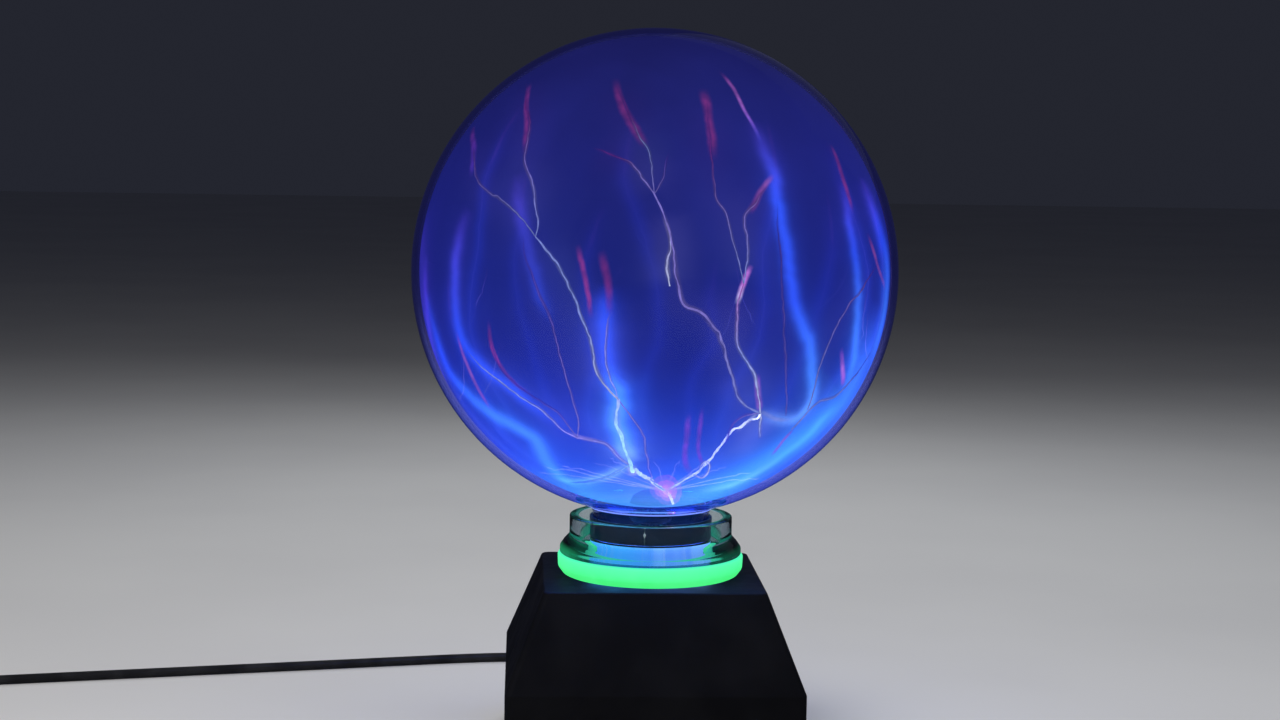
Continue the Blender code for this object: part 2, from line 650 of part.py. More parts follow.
def smooth_route(points, spacing):
    """Points about spacing apart on a Catmull-Rom curve through a route. All in millimetres, out in metres."""
    route = [Vector(p) for p in points]
    route = [2 * route[0] - route[1]] + route + [2 * route[-1] - route[-2]]
    curve = []
    for before, start, end, after in zip(route, route[1:], route[2:], route[3:]):
        steps = max(1, round((end - start).length / spacing))
        for step in range(steps):
            t = step / steps
            curve.append(0.5 * (
                2 * start + (end - before) * t
                + (2 * before - 5 * start + 4 * end - after) * t**2
                + (3 * start - before - 3 * end + after) * t**3
            ))
    curve.append(route[-2])
    return [p * MM for p in curve]


def tube(name, points, radius, material_name):
    curve = bpy.data.curves.new(name, "CURVE")
    curve.dimensions = "3D"
    curve.bevel_depth = radius
    curve.bevel_resolution = 2
    curve.use_fill_caps = True
    spline = curve.splines.new("POLY")
    spline.points.add(len(points) - 1)
    for point, place_at in zip(spline.points, points):
        point.co = (*place_at, 1.0)
    curve.materials.append(material(material_name))
    made = bpy.data.objects.new(name, curve)
    bpy.context.scene.collection.objects.link(made)
    return made


def plug():
    """The plug in the jack: a hollow metal barrel, and a moulded body that tapers to the cord."""
    start = BASE_HALF + 2.2 * MM
    turned("plug_barrel", [
        (1.2 * MM, -9.6 * MM), (2.75 * MM, -9.6 * MM), (2.75 * MM, 0.0), (1.2 * MM, 0.0),
    ], "steel", steps=16, **rear_facing(0.0, start))
    body = start + GAP
    length = CORD_START - GAP - body
    turned("plug_body", [
        (0.0, 0.0), (4.4 * MM, 0.0), (5.0 * MM, 0.8 * MM), (5.0 * MM, 17.0 * MM), (4.2 * MM, 19.5 * MM),
        (3.6 * MM, 24.0 * MM), (CORD_RADIUS + 0.3 * MM, length), (0.0, length),
    ], "black_rubber", steps=16, **rear_facing(0.0, body))


def cord():
    tube("cord_lead", smooth_route(LEAD_ROUTE, 10.0), CORD_RADIUS, "black_rubber")
    inner, outer = COIL_RADIUS - COIL_BUNDLE, COIL_RADIUS + COIL_BUNDLE
    low, high, cut = 0.2 * MM, 0.2 * MM + 2 * COIL_BUNDLE, 1.6 * MM
    turned("cord_coil", [
        (inner, low + cut), (inner + cut, low), (outer - cut, low), (outer, low + cut),
        (outer, high - cut), (outer - cut, high), (inner + cut, high), (inner, high - cut),
    ], "black_rubber", location=COIL_CENTRE, steps=32)
    tail_x = ADAPTER_X / MM
    tail = [(tail_x, 42.3, TAIL_Z / MM), (tail_x, 49.0, TAIL_Z / MM), (tail_x, 55.5, TAIL_Z / MM)]
    tube("cord_tail", smooth_route(tail, 7.0), CORD_RADIUS, "black_rubber")


def adapter():
    """The plug-in adapter, lying on its side: a block with two flat blades and a tapered relief."""
    low_y, high_y = ADAPTER_Y
    block(
        "adapter_body", (ADAPTER_X - ADAPTER_HALF_X, low_y, 0.0), (ADAPTER_X + ADAPTER_HALF_X, high_y, ADAPTER_HEIGHT),
        "black_plastic", bevel=2.5 * MM,
    )
    face = ADAPTER_X + ADAPTER_HALF_X + GAP
    for number, side in enumerate((-1, 1)):
        middle = ADAPTER_HEIGHT / 2 + side * 6.35 * MM
        block(
            f"adapter_blade_{number + 1}", (face, -13.2 * MM, middle - 0.75 * MM),
            (face + 16.0 * MM, -6.8 * MM, middle + 0.75 * MM), "brass", bevel=0.3 * MM,
        )
    turned("adapter_relief", [
        (0.0, GAP), (4.6 * MM, GAP), (4.6 * MM, 3.0 * MM), (CORD_RADIUS + 0.4 * MM, 14.0 * MM), (0.0, 14.0 * MM),
    ], "black_rubber", location=(ADAPTER_X, high_y, TAIL_Z), rotation=(math.radians(-90), 0, 0), steps=16)


def main():
    clear_scene()
    globe()
    collar()
    housing()
    base_plate()
    main_board()
    transformer()
    high_voltage_lead()
    heatsink()
    small_parts()
    sensitivity_control()
    mode_switch()
    power_inlet()
    plug()
    cord()
    adapter()


main()
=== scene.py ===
"""Looks of the plasma ball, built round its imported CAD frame.

Metres, +Z up, origin on the table under the globe's axis. -Y is the front and +Y the rear.
"""

import json
import math
import random

import bmesh
import bpy
import numpy as np
from mathutils import Matrix, Vector, noise


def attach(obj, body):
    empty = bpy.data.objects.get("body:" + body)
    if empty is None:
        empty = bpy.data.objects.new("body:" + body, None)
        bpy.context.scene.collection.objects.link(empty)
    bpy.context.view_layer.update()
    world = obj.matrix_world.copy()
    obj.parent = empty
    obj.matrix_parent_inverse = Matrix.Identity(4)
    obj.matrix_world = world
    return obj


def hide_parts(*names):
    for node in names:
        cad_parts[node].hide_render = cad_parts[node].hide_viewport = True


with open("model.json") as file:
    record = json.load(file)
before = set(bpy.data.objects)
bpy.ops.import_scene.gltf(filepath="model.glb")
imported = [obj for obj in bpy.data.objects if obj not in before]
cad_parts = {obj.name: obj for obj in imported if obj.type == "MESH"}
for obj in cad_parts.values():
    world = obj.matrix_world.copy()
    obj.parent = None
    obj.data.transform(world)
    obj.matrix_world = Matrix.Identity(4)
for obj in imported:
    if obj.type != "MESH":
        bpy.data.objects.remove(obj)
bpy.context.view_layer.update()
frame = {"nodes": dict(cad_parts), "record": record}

MM = 0.001

# Globe
GLOBE_RADIUS = 101.5 * MM
GLOBE_Z = 204.0 * MM
GLASS = 2.2 * MM
NECK_RADIUS = 24.5 * MM
NECK_FILLET = 5.0 * MM
NECK_BOTTOM = 50.0 * MM
SLEEVE_RADIUS = 24.85 * MM
SEAM_ANGLE = math.radians(-98.5)

# Gas: the glowing film, the absorbing core inside it, and the streamers between the film and the glass
FILM_RADIUS = 98.1 * MM
CORE_RADIUS = 96.5 * MM
STREAMER_RADIUS = 98.6 * MM
VEIL_RADIUS = 98.2 * MM
THREAD_WANDER = 1.3 * MM
DISCHARGE_SEED = 11

# Base
WALL = 2.5 * MM
BASE_BOTTOM = 2.5 * MM
BREAK_Z = 38.0 * MM
TOP_Z = 77.0 * MM
BASE_HALF = 60.7 * MM
TOP_HALF = 45.4 * MM

# Controls on the rear wall
CONTROL_Z = 19.0 * MM
KNOB_X = -30.0 * MM
SWITCH_X = 28.0 * MM
SWITCH_TRAVEL = 6.0 * MM

# Cord and adapter
CORD_RADIUS = 2.1 * MM
COIL_X, COIL_Y = -332.0 * MM, 76.5 * MM
ADAPTER_X = -354.0 * MM
ADAPTER_LOW_Y, ADAPTER_HIGH_Y = -32.0 * MM, 28.0 * MM
TAIL_Z = 10.9 * MM
BLADE_GAP = 12.7 * MM

# Camera
CAMERA_DISTANCE = 0.95
CAMERA_HEIGHT = 0.262
CAMERA_SIDE = -0.0056
CAMERA_YAW = math.radians(-3.0)
CAMERA_PITCH = math.radians(5.7)
CAMERA_ROLL = math.radians(0.9)
CAMERA_LENS = 63.9
CAMERA_SENSOR = 36.0

FLOOR_HALF = 8.0

SMOOTH_ANGLE = math.radians(35)
ON_AXIS = 1e-7
REARWARD = (math.radians(-90), 0, 0)


# ---- Stage ----


WARM_LIGHT = (1.0, 0.98, 0.95)
COOL_LIGHT = (0.9, 0.94, 1.0)
BLUE_LIGHT = (0.85, 0.9, 1.0)
# Each light's name, place, aim, width and height, watts, colour, and whether it shows in reflections
LIGHTS = [
    ("key_light", (-0.45, -0.65, 0.95), (-0.08, -0.2, 0.0), (0.8, 0.7), 9.5, WARM_LIGHT, False),
    ("fill_light", (0.7, -0.5, 0.8), (0.0, 0.0, 0.08), (0.8, 0.8), 3.2, COOL_LIGHT, False),
    ("rear_light", (0.1, 0.8, 0.8), (0.0, 0.1, 0.05), (0.8, 0.5), 3.0, COOL_LIGHT, False),
    ("left_softbox", (-1.5, -0.6, 0.9), (0.0, 0.0, 0.08), (1.6, 1.2), 0.5, BLUE_LIGHT, True),
    ("rear_softbox", (0.9, 1.4, 1.0), (0.0, 0.0, 0.08), (1.6, 1.0), 0.3, BLUE_LIGHT, True),
]


def area_light(name, location, target, size, watts, colour, glossy):
    """A soft box that is never seen itself."""
    light = bpy.data.lights.new(name, "AREA")
    light.shape = "RECTANGLE"
    light.size, light.size_y = size
    light.energy = watts
    light.color = colour
    made = bpy.data.objects.new(name, light)
    made.location = location
    made.rotation_euler = (Vector(target) - made.location).to_track_quat("-Z", "Y").to_euler()
    made.visible_camera = False
    made.visible_glossy = glossy
    made.visible_transmission = False
    bpy.context.scene.collection.objects.link(made)


def camera():
    data = bpy.data.cameras.new("camera")
    data.lens = CAMERA_LENS
    data.sensor_width = CAMERA_SENSOR
    made = bpy.data.objects.new("camera", data)
    turn = Matrix.Rotation(CAMERA_YAW, 4, "Z")
    tilt = Matrix.Rotation(math.radians(90) - CAMERA_PITCH, 4, "X")
    roll = Matrix.Rotation(CAMERA_ROLL, 4, "Z")
    stand = Matrix.Translation((CAMERA_SIDE, -CAMERA_DISTANCE, CAMERA_HEIGHT))
    made.matrix_world = turn @ stand @ tilt @ roll
    bpy.context.scene.collection.objects.link(made)
    bpy.context.scene.camera = made


def stage():
    """A pale floor under soft light, in a dim room, so that the discharge shows."""
    bpy.context.scene.view_settings.view_transform = "Standard"
    world = bpy.data.worlds.new("studio")
    world.use_nodes = True
    background = world.node_tree.nodes["Background"]
    background.inputs["Color"].default_value = (0.62, 0.68, 1.0, 1.0)
    background.inputs["Strength"].default_value = 0.028
    bpy.context.scene.world = world
    for light in LIGHTS:
        area_light(*light)
    mesh = bpy.data.meshes.new("floor")
    corners = [(x * FLOOR_HALF, y * FLOOR_HALF, 0) for x, y in ((-1, -1), (1, -1), (1, 1), (-1, 1))]
    mesh.from_pydata(corners, [], [(0, 1, 2, 3)])
    floor = bpy.data.objects.new("floor", mesh)
    bpy.context.scene.collection.objects.link(floor)
    pale = Finish("pale_floor", roughness=0.65)
    pale.vary((0.80, 0.79, 0.77), (0.76, 0.75, 0.735), 3.0)
    mesh.materials.append(pale.material)
    floor.visible_glossy = False


# ---- Finishes ----


class Finish:
    """A Principled material that is given its detail step by step. Scales are in features per metre."""

    def __init__(self, name, colour=(0.5, 0.5, 0.5), roughness=0.5, metallic=0.0, **values):
        self.name = name
        self.material = bpy.data.materials.new(name)
        self.material.use_nodes = True
        self.tree = self.material.node_tree
        self.shader = self.tree.nodes["Principled BSDF"]
        self.set("Base Color", (*colour, 1.0))
        self.set("Roughness", roughness)
        self.set("Metallic", metallic)
        for key, value in values.items():
            self.set(key.replace("_", " ").title().replace("Ior", "IOR"), value)
        self.coordinates = self.add("ShaderNodeTexCoord").outputs["Object"]
        self.height = None

    def set(self, name, value):
        self.shader.inputs[name].default_value = value

    def add(self, kind, **inputs):
        made = self.tree.nodes.new(kind)
        for name, value in inputs.items():
            self.feed(made.inputs[name], value)
        return made

    def feed(self, socket, value):
        if isinstance(value, bpy.types.NodeSocket):
            self.tree.links.new(value, socket)
        else:
            socket.default_value = value

    def stretched(self, stretch):
        """Object coordinates, scaled along each axis."""
        return self.add("ShaderNodeMapping", Vector=self.coordinates, Scale=stretch).outputs["Vector"]

    def noise(self, scale, detail=4.0, roughness=0.55, stretch=(1.0, 1.0, 1.0)):
        where = self.coordinates if stretch == (1.0, 1.0, 1.0) else self.stretched(stretch)
        made = self.add("ShaderNodeTexNoise", Vector=where, Scale=scale, Detail=detail, Roughness=roughness)
        return made.outputs["Fac"]

    def cells(self, scale, stretch=(1.0, 1.0, 1.0)):
        made = self.add("ShaderNodeTexVoronoi", Vector=self.stretched(stretch), Scale=scale)
        return made.outputs["Distance"]

    def waves(self, scale, direction="Z", distortion=0.0):
        made = self.add("ShaderNodeTexWave", Vector=self.coordinates, Scale=scale, Distortion=distortion)
        made.bands_direction = direction
        return made.outputs["Fac"]

    def tints(self):
        """The colour and alpha that the mesh holds in its vertices."""
        made = self.add("ShaderNodeAttribute")
        made.attribute_name = "glow"
        return made.outputs["Color"], made.outputs["Alpha"]

    def math(self, operation, first, second=0.0, third=0.0):
        made = self.tree.nodes.new("ShaderNodeMath")
        made.operation = operation
        for socket, value in zip(made.inputs, (first, second, third)):
            self.feed(socket, value)
        return made.outputs[0]

    def between(self, value, low, high, out_low=0.0, out_high=1.0):
        """Maps low..high to out_low..out_high, smoothly."""
        made = self.tree.nodes.new("ShaderNodeMapRange")
        made.interpolation_type = "SMOOTHSTEP"
        names = ("Value", "From Min", "From Max", "To Min", "To Max")
        for name, setting in zip(names, (value, low, high, out_low, out_high)):
            self.feed(made.inputs[name], setting)
        return made.outputs["Result"]

    def both(self, first, second):
        return self.math("MULTIPLY", first, second)

    def axis(self, name):
        return self.add("ShaderNodeSeparateXYZ", Vector=self.coordinates).outputs[name]

    def radius(self):
        """The distance from the upright axis."""
        made = self.add("ShaderNodeVectorMath", Vector=self.stretched((1.0, 1.0, 0.0)))
        made.operation = "LENGTH"
        return made.outputs["Value"]

    def line(self, value, middle, core, edge):
        """1 where a value is within core of the middle, falling to 0 at edge."""
        away = self.math("ABSOLUTE", self.math("SUBTRACT", value, middle))
        return self.between(away, core, edge, 1.0, 0.0)

    def mix(self, share, first, second, blend="MIX"):
        made = self.tree.nodes.new("ShaderNodeMix")
        made.data_type = "RGBA"
        made.blend_type = blend
        self.feed(made.inputs["Factor"], share)
        for socket, value in ((made.inputs[6], first), (made.inputs[7], second)):
            self.feed(socket, value if isinstance(value, bpy.types.NodeSocket) else (*value, 1.0))
        return made.outputs[2]

    def colour(self, value):
        self.feed(self.shader.inputs["Base Color"], value)

    def shine(self, value):
        self.feed(self.shader.inputs["Emission Color"], value)

    def vary(self, first, second, scale, low=0.35, high=0.65, detail=3.0):
        """The colour drifts between two."""
        share = self.between(self.noise(scale, detail), low, high)
        self.colour(self.mix(share, first, second))

    def rough(self, low, high, scale, stretch=(1.0, 1.0, 1.0), detail=3.0):
        share = self.noise(scale, detail, stretch=stretch)
        self.feed(self.shader.inputs["Roughness"], self.between(share, 0.3, 0.7, low, high))

    def bump(self, height, depth, strength=1.0):
        """Raises the surface by height times depth, over what is there already."""
        made = self.add("ShaderNodeBump", Height=height, Distance=depth, Strength=strength)
        if self.height is not None:
            self.tree.links.new(self.height, made.inputs["Normal"])
        self.height = made.outputs["Normal"]
        self.feed(self.shader.inputs["Normal"], self.height)


def moulded(name, colour, roughness, grain=1400.0, depth=0.03 * MM, **values):
    """Injection-moulded plastic: spark-eroded grain, slight blotches, and dust on what faces up."""
    made = Finish(name, colour=colour, roughness=roughness, **values)
    lighter = tuple(c * 1.25 + 0.001 for c in colour)
    tone = made.mix(made.between(made.noise(38.0, 5.0), 0.38, 0.68), colour, lighter)
    normal = made.add("ShaderNodeNewGeometry").outputs["Normal"]
    up = made.add("ShaderNodeSeparateXYZ", Vector=normal).outputs["Z"]
    specks = made.between(made.noise(900.0, 2.0), 0.60, 0.72)
    settled = made.both(made.between(up, 0.55, 1.0, 0.0, 0.05), specks)
    made.colour(made.mix(settled, tone, (0.35, 0.34, 0.32)))
    made.rough(roughness - 0.07, roughness + 0.09, 55.0)
    made.bump(made.noise(grain, 2.0, 0.6), depth)
    made.bump(made.noise(60.0, 2.0), 0.06 * MM)
    return made


def rubbery(name, colour, roughness, sheen=0.15):
    made = Finish(name, colour=colour, roughness=roughness, sheen_weight=sheen, sheen_roughness=0.5)
    made.vary(colour, tuple(c * 1.8 + 0.003 for c in colour), 90.0)
    made.rough(roughness - 0.08, roughness + 0.08, 150.0)
    made.bump(made.noise(2200.0, 2.0), 0.02 * MM)
    return made


def metal(name, colour, roughness, brushed=(1.0, 1.0, 1.0), scratches=500.0):
    """Plated or drawn metal, with fine scratches along one way and a slight stain."""
    made = Finish(name, colour=colour, roughness=roughness, metallic=1.0)
    made.vary(colour, tuple(c * 0.78 for c in colour), 120.0)
    made.rough(roughness - 0.08, roughness + 0.12, scratches, stretch=brushed)
    made.bump(made.noise(scratches, 3.0, stretch=brushed), 0.01 * MM)
    return made


def grained(name, first, second, scale, roughness, grain, depth, **values):
    """A fine-grained surface whose colour drifts between two."""
    made = Finish(name, first, roughness, **values)
    made.vary(first, second, scale)
    made.bump(made.noise(grain, 2.0), depth)
    return made


def wound(name, first, second, scale, roughness, turns_per_metre, depth, distortion=0.0, **values):
    """Wire or tape, wound in level turns."""
    made = Finish(name, first, roughness, **values)
    made.vary(first, second, scale)
    made.bump(made.waves(turns_per_metre, distortion=distortion), depth)
    return made


def circuit_board():
    made = Finish("circuit_board", (0.02, 0.16, 0.06), 0.3)
    tracks = made.between(made.cells(190.0, (1.0, 1.0, 0.2)), 0.30, 0.36)
    made.colour(made.mix(tracks, (0.05, 0.26, 0.10), (0.016, 0.12, 0.045)))
    made.bump(tracks, 0.03 * MM)
    return made


def white_print():
    made = Finish("white_print", (0.75, 0.75, 0.72), 0.5)
    made.vary((0.78, 0.78, 0.75), (0.62, 0.62, 0.60), 900.0)
    return made


def finishes():
    """A finish for each material slot of the record that shows a plain surface, and two more, by name."""
    made = [
        moulded("black_plastic", (0.0045, 0.0045, 0.0058), 0.5, specular_ior_level=0.3),
        moulded("adapter_plastic", (0.012, 0.012, 0.014), 0.42),
        moulded("control_plastic", (0.016, 0.016, 0.018), 0.36, 2600.0, 0.012 * MM),
        rubbery("black_rubber", (0.013, 0.013, 0.013), 0.72),
        rubbery("cord_vinyl", (0.011, 0.011, 0.012), 0.44, sheen=0.05),
        metal("steel", (0.56, 0.57, 0.60), 0.32),
        metal("brass", (0.80, 0.60, 0.31), 0.24, brushed=(0.15, 1.0, 1.0)),
        metal("aluminium", (0.76, 0.77, 0.79), 0.38, brushed=(1.0, 1.0, 0.1)),
        grained("ferrite", (0.045, 0.045, 0.05), (0.075, 0.072, 0.07), 300.0, 0.6, 3000.0, 0.02 * MM),
        grained("bobbin_plastic", (0.72, 0.70, 0.62), (0.62, 0.60, 0.52), 70.0, 0.5, 1500.0, 0.012 * MM),
        grained("red_insulation", (0.55, 0.03, 0.02), (0.40, 0.02, 0.015), 70.0, 0.38, 1500.0, 0.012 * MM),
        grained("capacitor_sleeve", (0.02, 0.04, 0.16), (0.03, 0.06, 0.22), 70.0, 0.28, 1500.0, 0.012 * MM),
        grained("led_lens", (0.3, 0.9, 0.5), (0.5, 1.0, 0.65), 400.0, 0.2, 1800.0, 0.01 * MM,
                emission_color=(0.06, 1.0, 0.3, 1.0), emission_strength=3.0),
        wound("copper_wire", (0.62, 0.25, 0.10), (0.42, 0.14, 0.05), 160.0, 0.3, 700.0, 0.15 * MM,
              metallic=0.9, coat_weight=0.6, coat_roughness=0.15),
        wound("winding_tape", (0.75, 0.58, 0.10), (0.62, 0.45, 0.07), 80.0, 0.3, 110.0, 0.08 * MM, 0.6),
        circuit_board(),
        white_print(),
    ]
    return {finish.name: finish for finish in made}


# ---- Shape helpers ----


def place(mesh, body, slot, replaces=(), finish=None, location=(0, 0, 0), rotation=(0, 0, 0)):
    """A mesh or curve becomes a piece of its own name, on a body. Without a finish it takes its slot's."""
    made = bpy.data.objects.new(mesh.name, mesh)
    made.location = location
    made.rotation_euler = rotation
    bpy.context.scene.collection.objects.link(made)
    mesh.materials.append((finish or FINISHES[slot]).material)
    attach(made, body)
    if replaces:
        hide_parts(*replaces)
    return made


def finished(bm, name, sharp=SMOOTH_ANGLE):
    """A mesh from a bmesh, shaded smooth up to an angle."""
    bmesh.ops.recalc_face_normals(bm, faces=bm.faces)
    mesh = bpy.data.meshes.new(name)
    bm.to_mesh(mesh)
    bm.free()
    mesh.shade_smooth()
    mesh.set_sharp_from_angle(angle=sharp)
    return mesh


def filleted(corners, steps=4, closed=False):
    """Points along a line whose (across, up, radius) corners are rounded. A radius of 0 stays sharp."""
    points = []
    count = len(corners)
    for i, (x, y, radius) in enumerate(corners):
        here = Vector((x, y))
        if radius <= 0 or (not closed and i in (0, count - 1)):
            points.append((x, y))
            continue
        before = Vector(corners[i - 1][:2]) - here
        after = Vector(corners[(i + 1) % count][:2]) - here
        angle = before.angle(after)
        reach = min(radius / math.tan(angle / 2), 0.49 * before.length, 0.49 * after.length)
        start, end = here + before.normalized() * reach, here + after.normalized() * reach
        for step in range(steps + 1):
            t = step / steps
            bend = (1 - t) ** 2 * start + 2 * t * (1 - t) * here + t**2 * end
            points.append(tuple(bend))
    return points


def in_mm(*corners):
    return [tuple(c * MM for c in corner) for corner in corners]


def skinned(name, rings, closed=False, caps=False, sharp=SMOOTH_ANGLE):
    """A skin over rings of points, all of one count, or of a single point where a ring closes on the axis."""
    bm = bmesh.new()
    made = [[bm.verts.new(point) for point in ring] for ring in rings]
    steps = max(len(ring) for ring in made)
    pairs = list(zip(made, made[1:]))
    if closed:
        pairs.append((made[-1], made[0]))
    for a, b in pairs:
        for i in range(steps):
            j = (i + 1) % steps
            corners = [a[i % len(a)], a[j % len(a)], b[j % len(b)], b[i % len(b)]]
            corners = [v for k, v in enumerate(corners) if v not in corners[:k]]
            if len(corners) > 2:
                bm.faces.new(corners)
    if caps:
        bm.faces.new(made[0])
        bm.faces.new(made[-1])
    return finished(bm, name, sharp)


def around(radius, height, steps):
    """Points on a level circle round the axis. A radius of 0 is the one point on the axis."""
    count = steps if radius > ON_AXIS else 1
    return [(radius * math.cos(turn), radius * math.sin(turn), height) for turn in turns(count)]


def turns(count):
    """Angles that part a full turn evenly."""
    return [2 * math.pi * i / count for i in range(count)]


def turned(name, profile, steps=96, closed=False):
    """A turned mesh. The (radius, height) profile runs from axis to axis, or round a closed ring."""
    return skinned(name, [around(radius, height, steps) for radius, height in profile], closed)


def rounded_square(half_x, half_y, radius, arc_steps=8):
    """The outline of a rectangle with round corners, anticlockwise."""
    outline = []
    for corner, (sign_x, sign_y) in enumerate([(1, 1), (-1, 1), (-1, -1), (1, -1)]):
        for step in range(arc_steps + 1):
            angle = math.radians(90 * (corner + step / arc_steps))
            outline.append((
                sign_x * (half_x - radius) + radius * math.cos(angle),
                sign_y * (half_y - radius) + radius * math.sin(angle),
            ))
    return outline


def lofted(name, sections):
    """A capped skin through outlines of the same count, each (points, height)."""
    return skinned(name, [[(x, y, height) for x, y in points] for points, height in sections], caps=True)


def prism(name, outline, low, high):
    return lofted(name, [(outline, low), (outline, high)])


def circle(radius, steps, centre=(0.0, 0.0)):
    x, y = centre
    return [(x + radius * math.cos(turn), y + radius * math.sin(turn)) for turn in turns(steps)]


def rear_prism(name, outline, low, high):
    """A prism that points to the rear. Its outline is (x, z), and it runs from y = low to high."""
    mesh = prism(name, [(x, -z) for x, z in outline], low, high)
    return moved(mesh, rotation=REARWARD)


def bevelled_box(name, size, bevel, segments=4):
    bm = bmesh.new()
    bmesh.ops.create_cube(bm, size=1.0)
    bmesh.ops.scale(bm, vec=size, verts=bm.verts)
    bmesh.ops.bevel(bm, geom=bm.edges[:], offset=bevel, segments=segments, profile=0.5, affect="EDGES")
    return finished(bm, name)


def cut(mesh, cutters):
    """The mesh less other meshes, all of which are used up."""
    name = mesh.name
    solids = []
    for solid in [mesh, *cutters]:
        solids.append(bpy.data.objects.new("solid", solid))
        bpy.context.scene.collection.objects.link(solids[-1])
    for cutter in solids[1:]:
        modifier = solids[0].modifiers.new("cut", "BOOLEAN")
        modifier.operation = "DIFFERENCE"
        modifier.solver = "EXACT"
        modifier.object = cutter
    graph = bpy.context.evaluated_depsgraph_get()
    result = bpy.data.meshes.new_from_object(solids[0].evaluated_get(graph))
    for solid in solids:
        used = solid.data
        bpy.data.objects.remove(solid)
        bpy.data.meshes.remove(used)
    result.name = name
    result.shade_smooth()
    result.set_sharp_from_angle(angle=SMOOTH_ANGLE)
    return result


def moved(mesh, location=(0, 0, 0), rotation=(0, 0, 0)):
    """The mesh itself, turned and shifted."""
    turn = Matrix.Rotation(rotation[2], 4, "Z") @ Matrix.Rotation(rotation[1], 4, "Y") @ Matrix.Rotation(
        rotation[0], 4, "X")
    mesh.transform(Matrix.Translation(location) @ turn)
    return mesh


def joined(name, meshes):
    """Several meshes, which are used up, as one."""
    bm = bmesh.new()
    for mesh in meshes:
        bm.from_mesh(mesh)
        bpy.data.meshes.remove(mesh)
    return finished(bm, name)


def catmull(points, spacing):
    """Points about spacing apart on a smooth curve through the given ones."""
    route = [Vector(p) for p in points]
    route = [2 * route[0] - route[1]] + route + [2 * route[-1] - route[-2]]
    curve = []
    for before, start, end, after in zip(route, route[1:], route[2:], route[3:]):
        steps = max(1, round((end - start).length / spacing))
        for step in range(steps):
            t = step / steps
            curve.append(0.5 * (
                2 * start + (end - before) * t
                + (2 * before - 5 * start + 4 * end - after) * t**2
                + (3 * start - before - 3 * end + after) * t**3
            ))
    curve.append(route[-2])
    return curve


# ---- Cord ----

LEAD_ROUTE = [
    (0.0, 98.5, 19.0),
    (0.0, 107.0, 18.8),
    (-0.8, 116.0, 17.6),
    (-3.5, 126.0, 14.9),
    (-8.5, 136.0, 11.2),
    (-16.0, 145.0, 7.6),
    (-26.0, 152.5, 4.9),
    (-38.0, 157.8, 3.1),
    (-51.0, 160.3, 2.4),
    (-65.0, 160.6, 2.3),
    (-85.0, 157.6, 2.3),
    (-110.0, 152.2, 2.3),
    (-143.0, 144.8, 2.3),
    (-176.0, 137.5, 2.3),
    (-210.0, 130.1, 2.3),
    (-245.0, 122.4, 2.3),
    (-280.0, 114.7, 2.3),
    (-300.0, 110.3, 2.3),
    (-321.4, 105.7, 2.3),
]
COIL_START = math.radians(102.4)
COIL_END = math.radians(180.0)
COIL_TURNS = 8
COIL_PITCH = 4.3 * MM
COIL_RADIUS = 22.0 * MM
COIL_LOW = 3.1 * MM
# Each turn's place in the 3 x 3 stack: (column out from the middle, row up from the table)
COIL_STACK = [(1, 0), (0, 0), (-1, 0), (-1, 1), (0, 1), (1, 1), (1, 2), (0, 2), (0, 2)]


def coil_route():
    """Turns side by side and on each other. The step to the next place takes the last part of each turn."""
    points = []
    steps = 16
    total = COIL_TURNS * 2 * math.pi + COIL_END - COIL_START
    count = round(total / (2 * math.pi) * steps)
    for i in range(1, count + 1):
        turned_by = total * i / count
        turn = min(int(turned_by / (2 * math.pi)), len(COIL_STACK) - 2)
        share = turned_by / (2 * math.pi) - turn
        share = min(max((share - 0.55) / 0.45, 0.0), 1.0)
        share = share * share * (3 - 2 * share)
        column, row = (a + (b - a) * share for a, b in zip(COIL_STACK[turn], COIL_STACK[turn + 1]))
        radius = COIL_RADIUS + column * COIL_PITCH
        angle = COIL_START + turned_by
        points.append(Vector((
            COIL_X + radius * math.cos(angle), COIL_Y + radius * math.sin(angle), COIL_LOW + row * COIL_PITCH,
        )))
    return points


def cord_route():
    lead = [Vector(p) * MM for p in LEAD_ROUTE]
    tail = [Vector((ADAPTER_X, y * MM, TAIL_Z)) for y in (68.0, 60.0, 52.0, 46.0, 42.3)]
    return catmull(lead + coil_route() + tail, 4.0 * MM)


def cord():
    """One unbroken lead, from the plug through its coil to the adapter."""
    route = cord_route()
    curve = bpy.data.curves.new("power_cord", "CURVE")
    curve.dimensions = "3D"
    curve.bevel_depth = CORD_RADIUS
    curve.bevel_resolution = 4
    curve.use_fill_caps = True
    spline = curve.splines.new("POLY")
    spline.points.add(len(route) - 1)
    for point, where in zip(spline.points, route):
        point.co = (*where, 1.0)
    spline.use_smooth = True
    return place(curve, "base", "cord_vinyl", ["cord_lead", "cord_coil", "cord_tail"])


def coil_tie():
    """A hook-and-loop strap round the bundle of turns: a flat band."""
    half_width = 6.0 * MM
    thick = 0.7 * MM
    centre = Vector((COIL_RADIUS, 0.0, COIL_LOW + COIL_PITCH))
    inner = COIL_PITCH + CORD_RADIUS + 0.2 * MM
    outline = filleted([(s * inner, t * (inner - 0.15 * MM), 3.0 * MM) for s, t in
                        ((1, 1), (-1, 1), (-1, -1), (1, -1))], 5, closed=True)
    grown = [(x * (1 + thick / inner), z * (1 + thick / inner)) for x, z in outline]
    sides = ((outline, -half_width), (grown, -half_width), (grown, half_width), (outline, half_width))
    mesh = skinned("cord_tie", [[(x, y, z) for x, z in points] for points, y in sides], closed=True)
    mesh = moved(moved(mesh, centre), (COIL_X, COIL_Y, 0), (0, 0, math.radians(-20)))
    return place(mesh, "base", "black_rubber")


# ---- Discharge ----

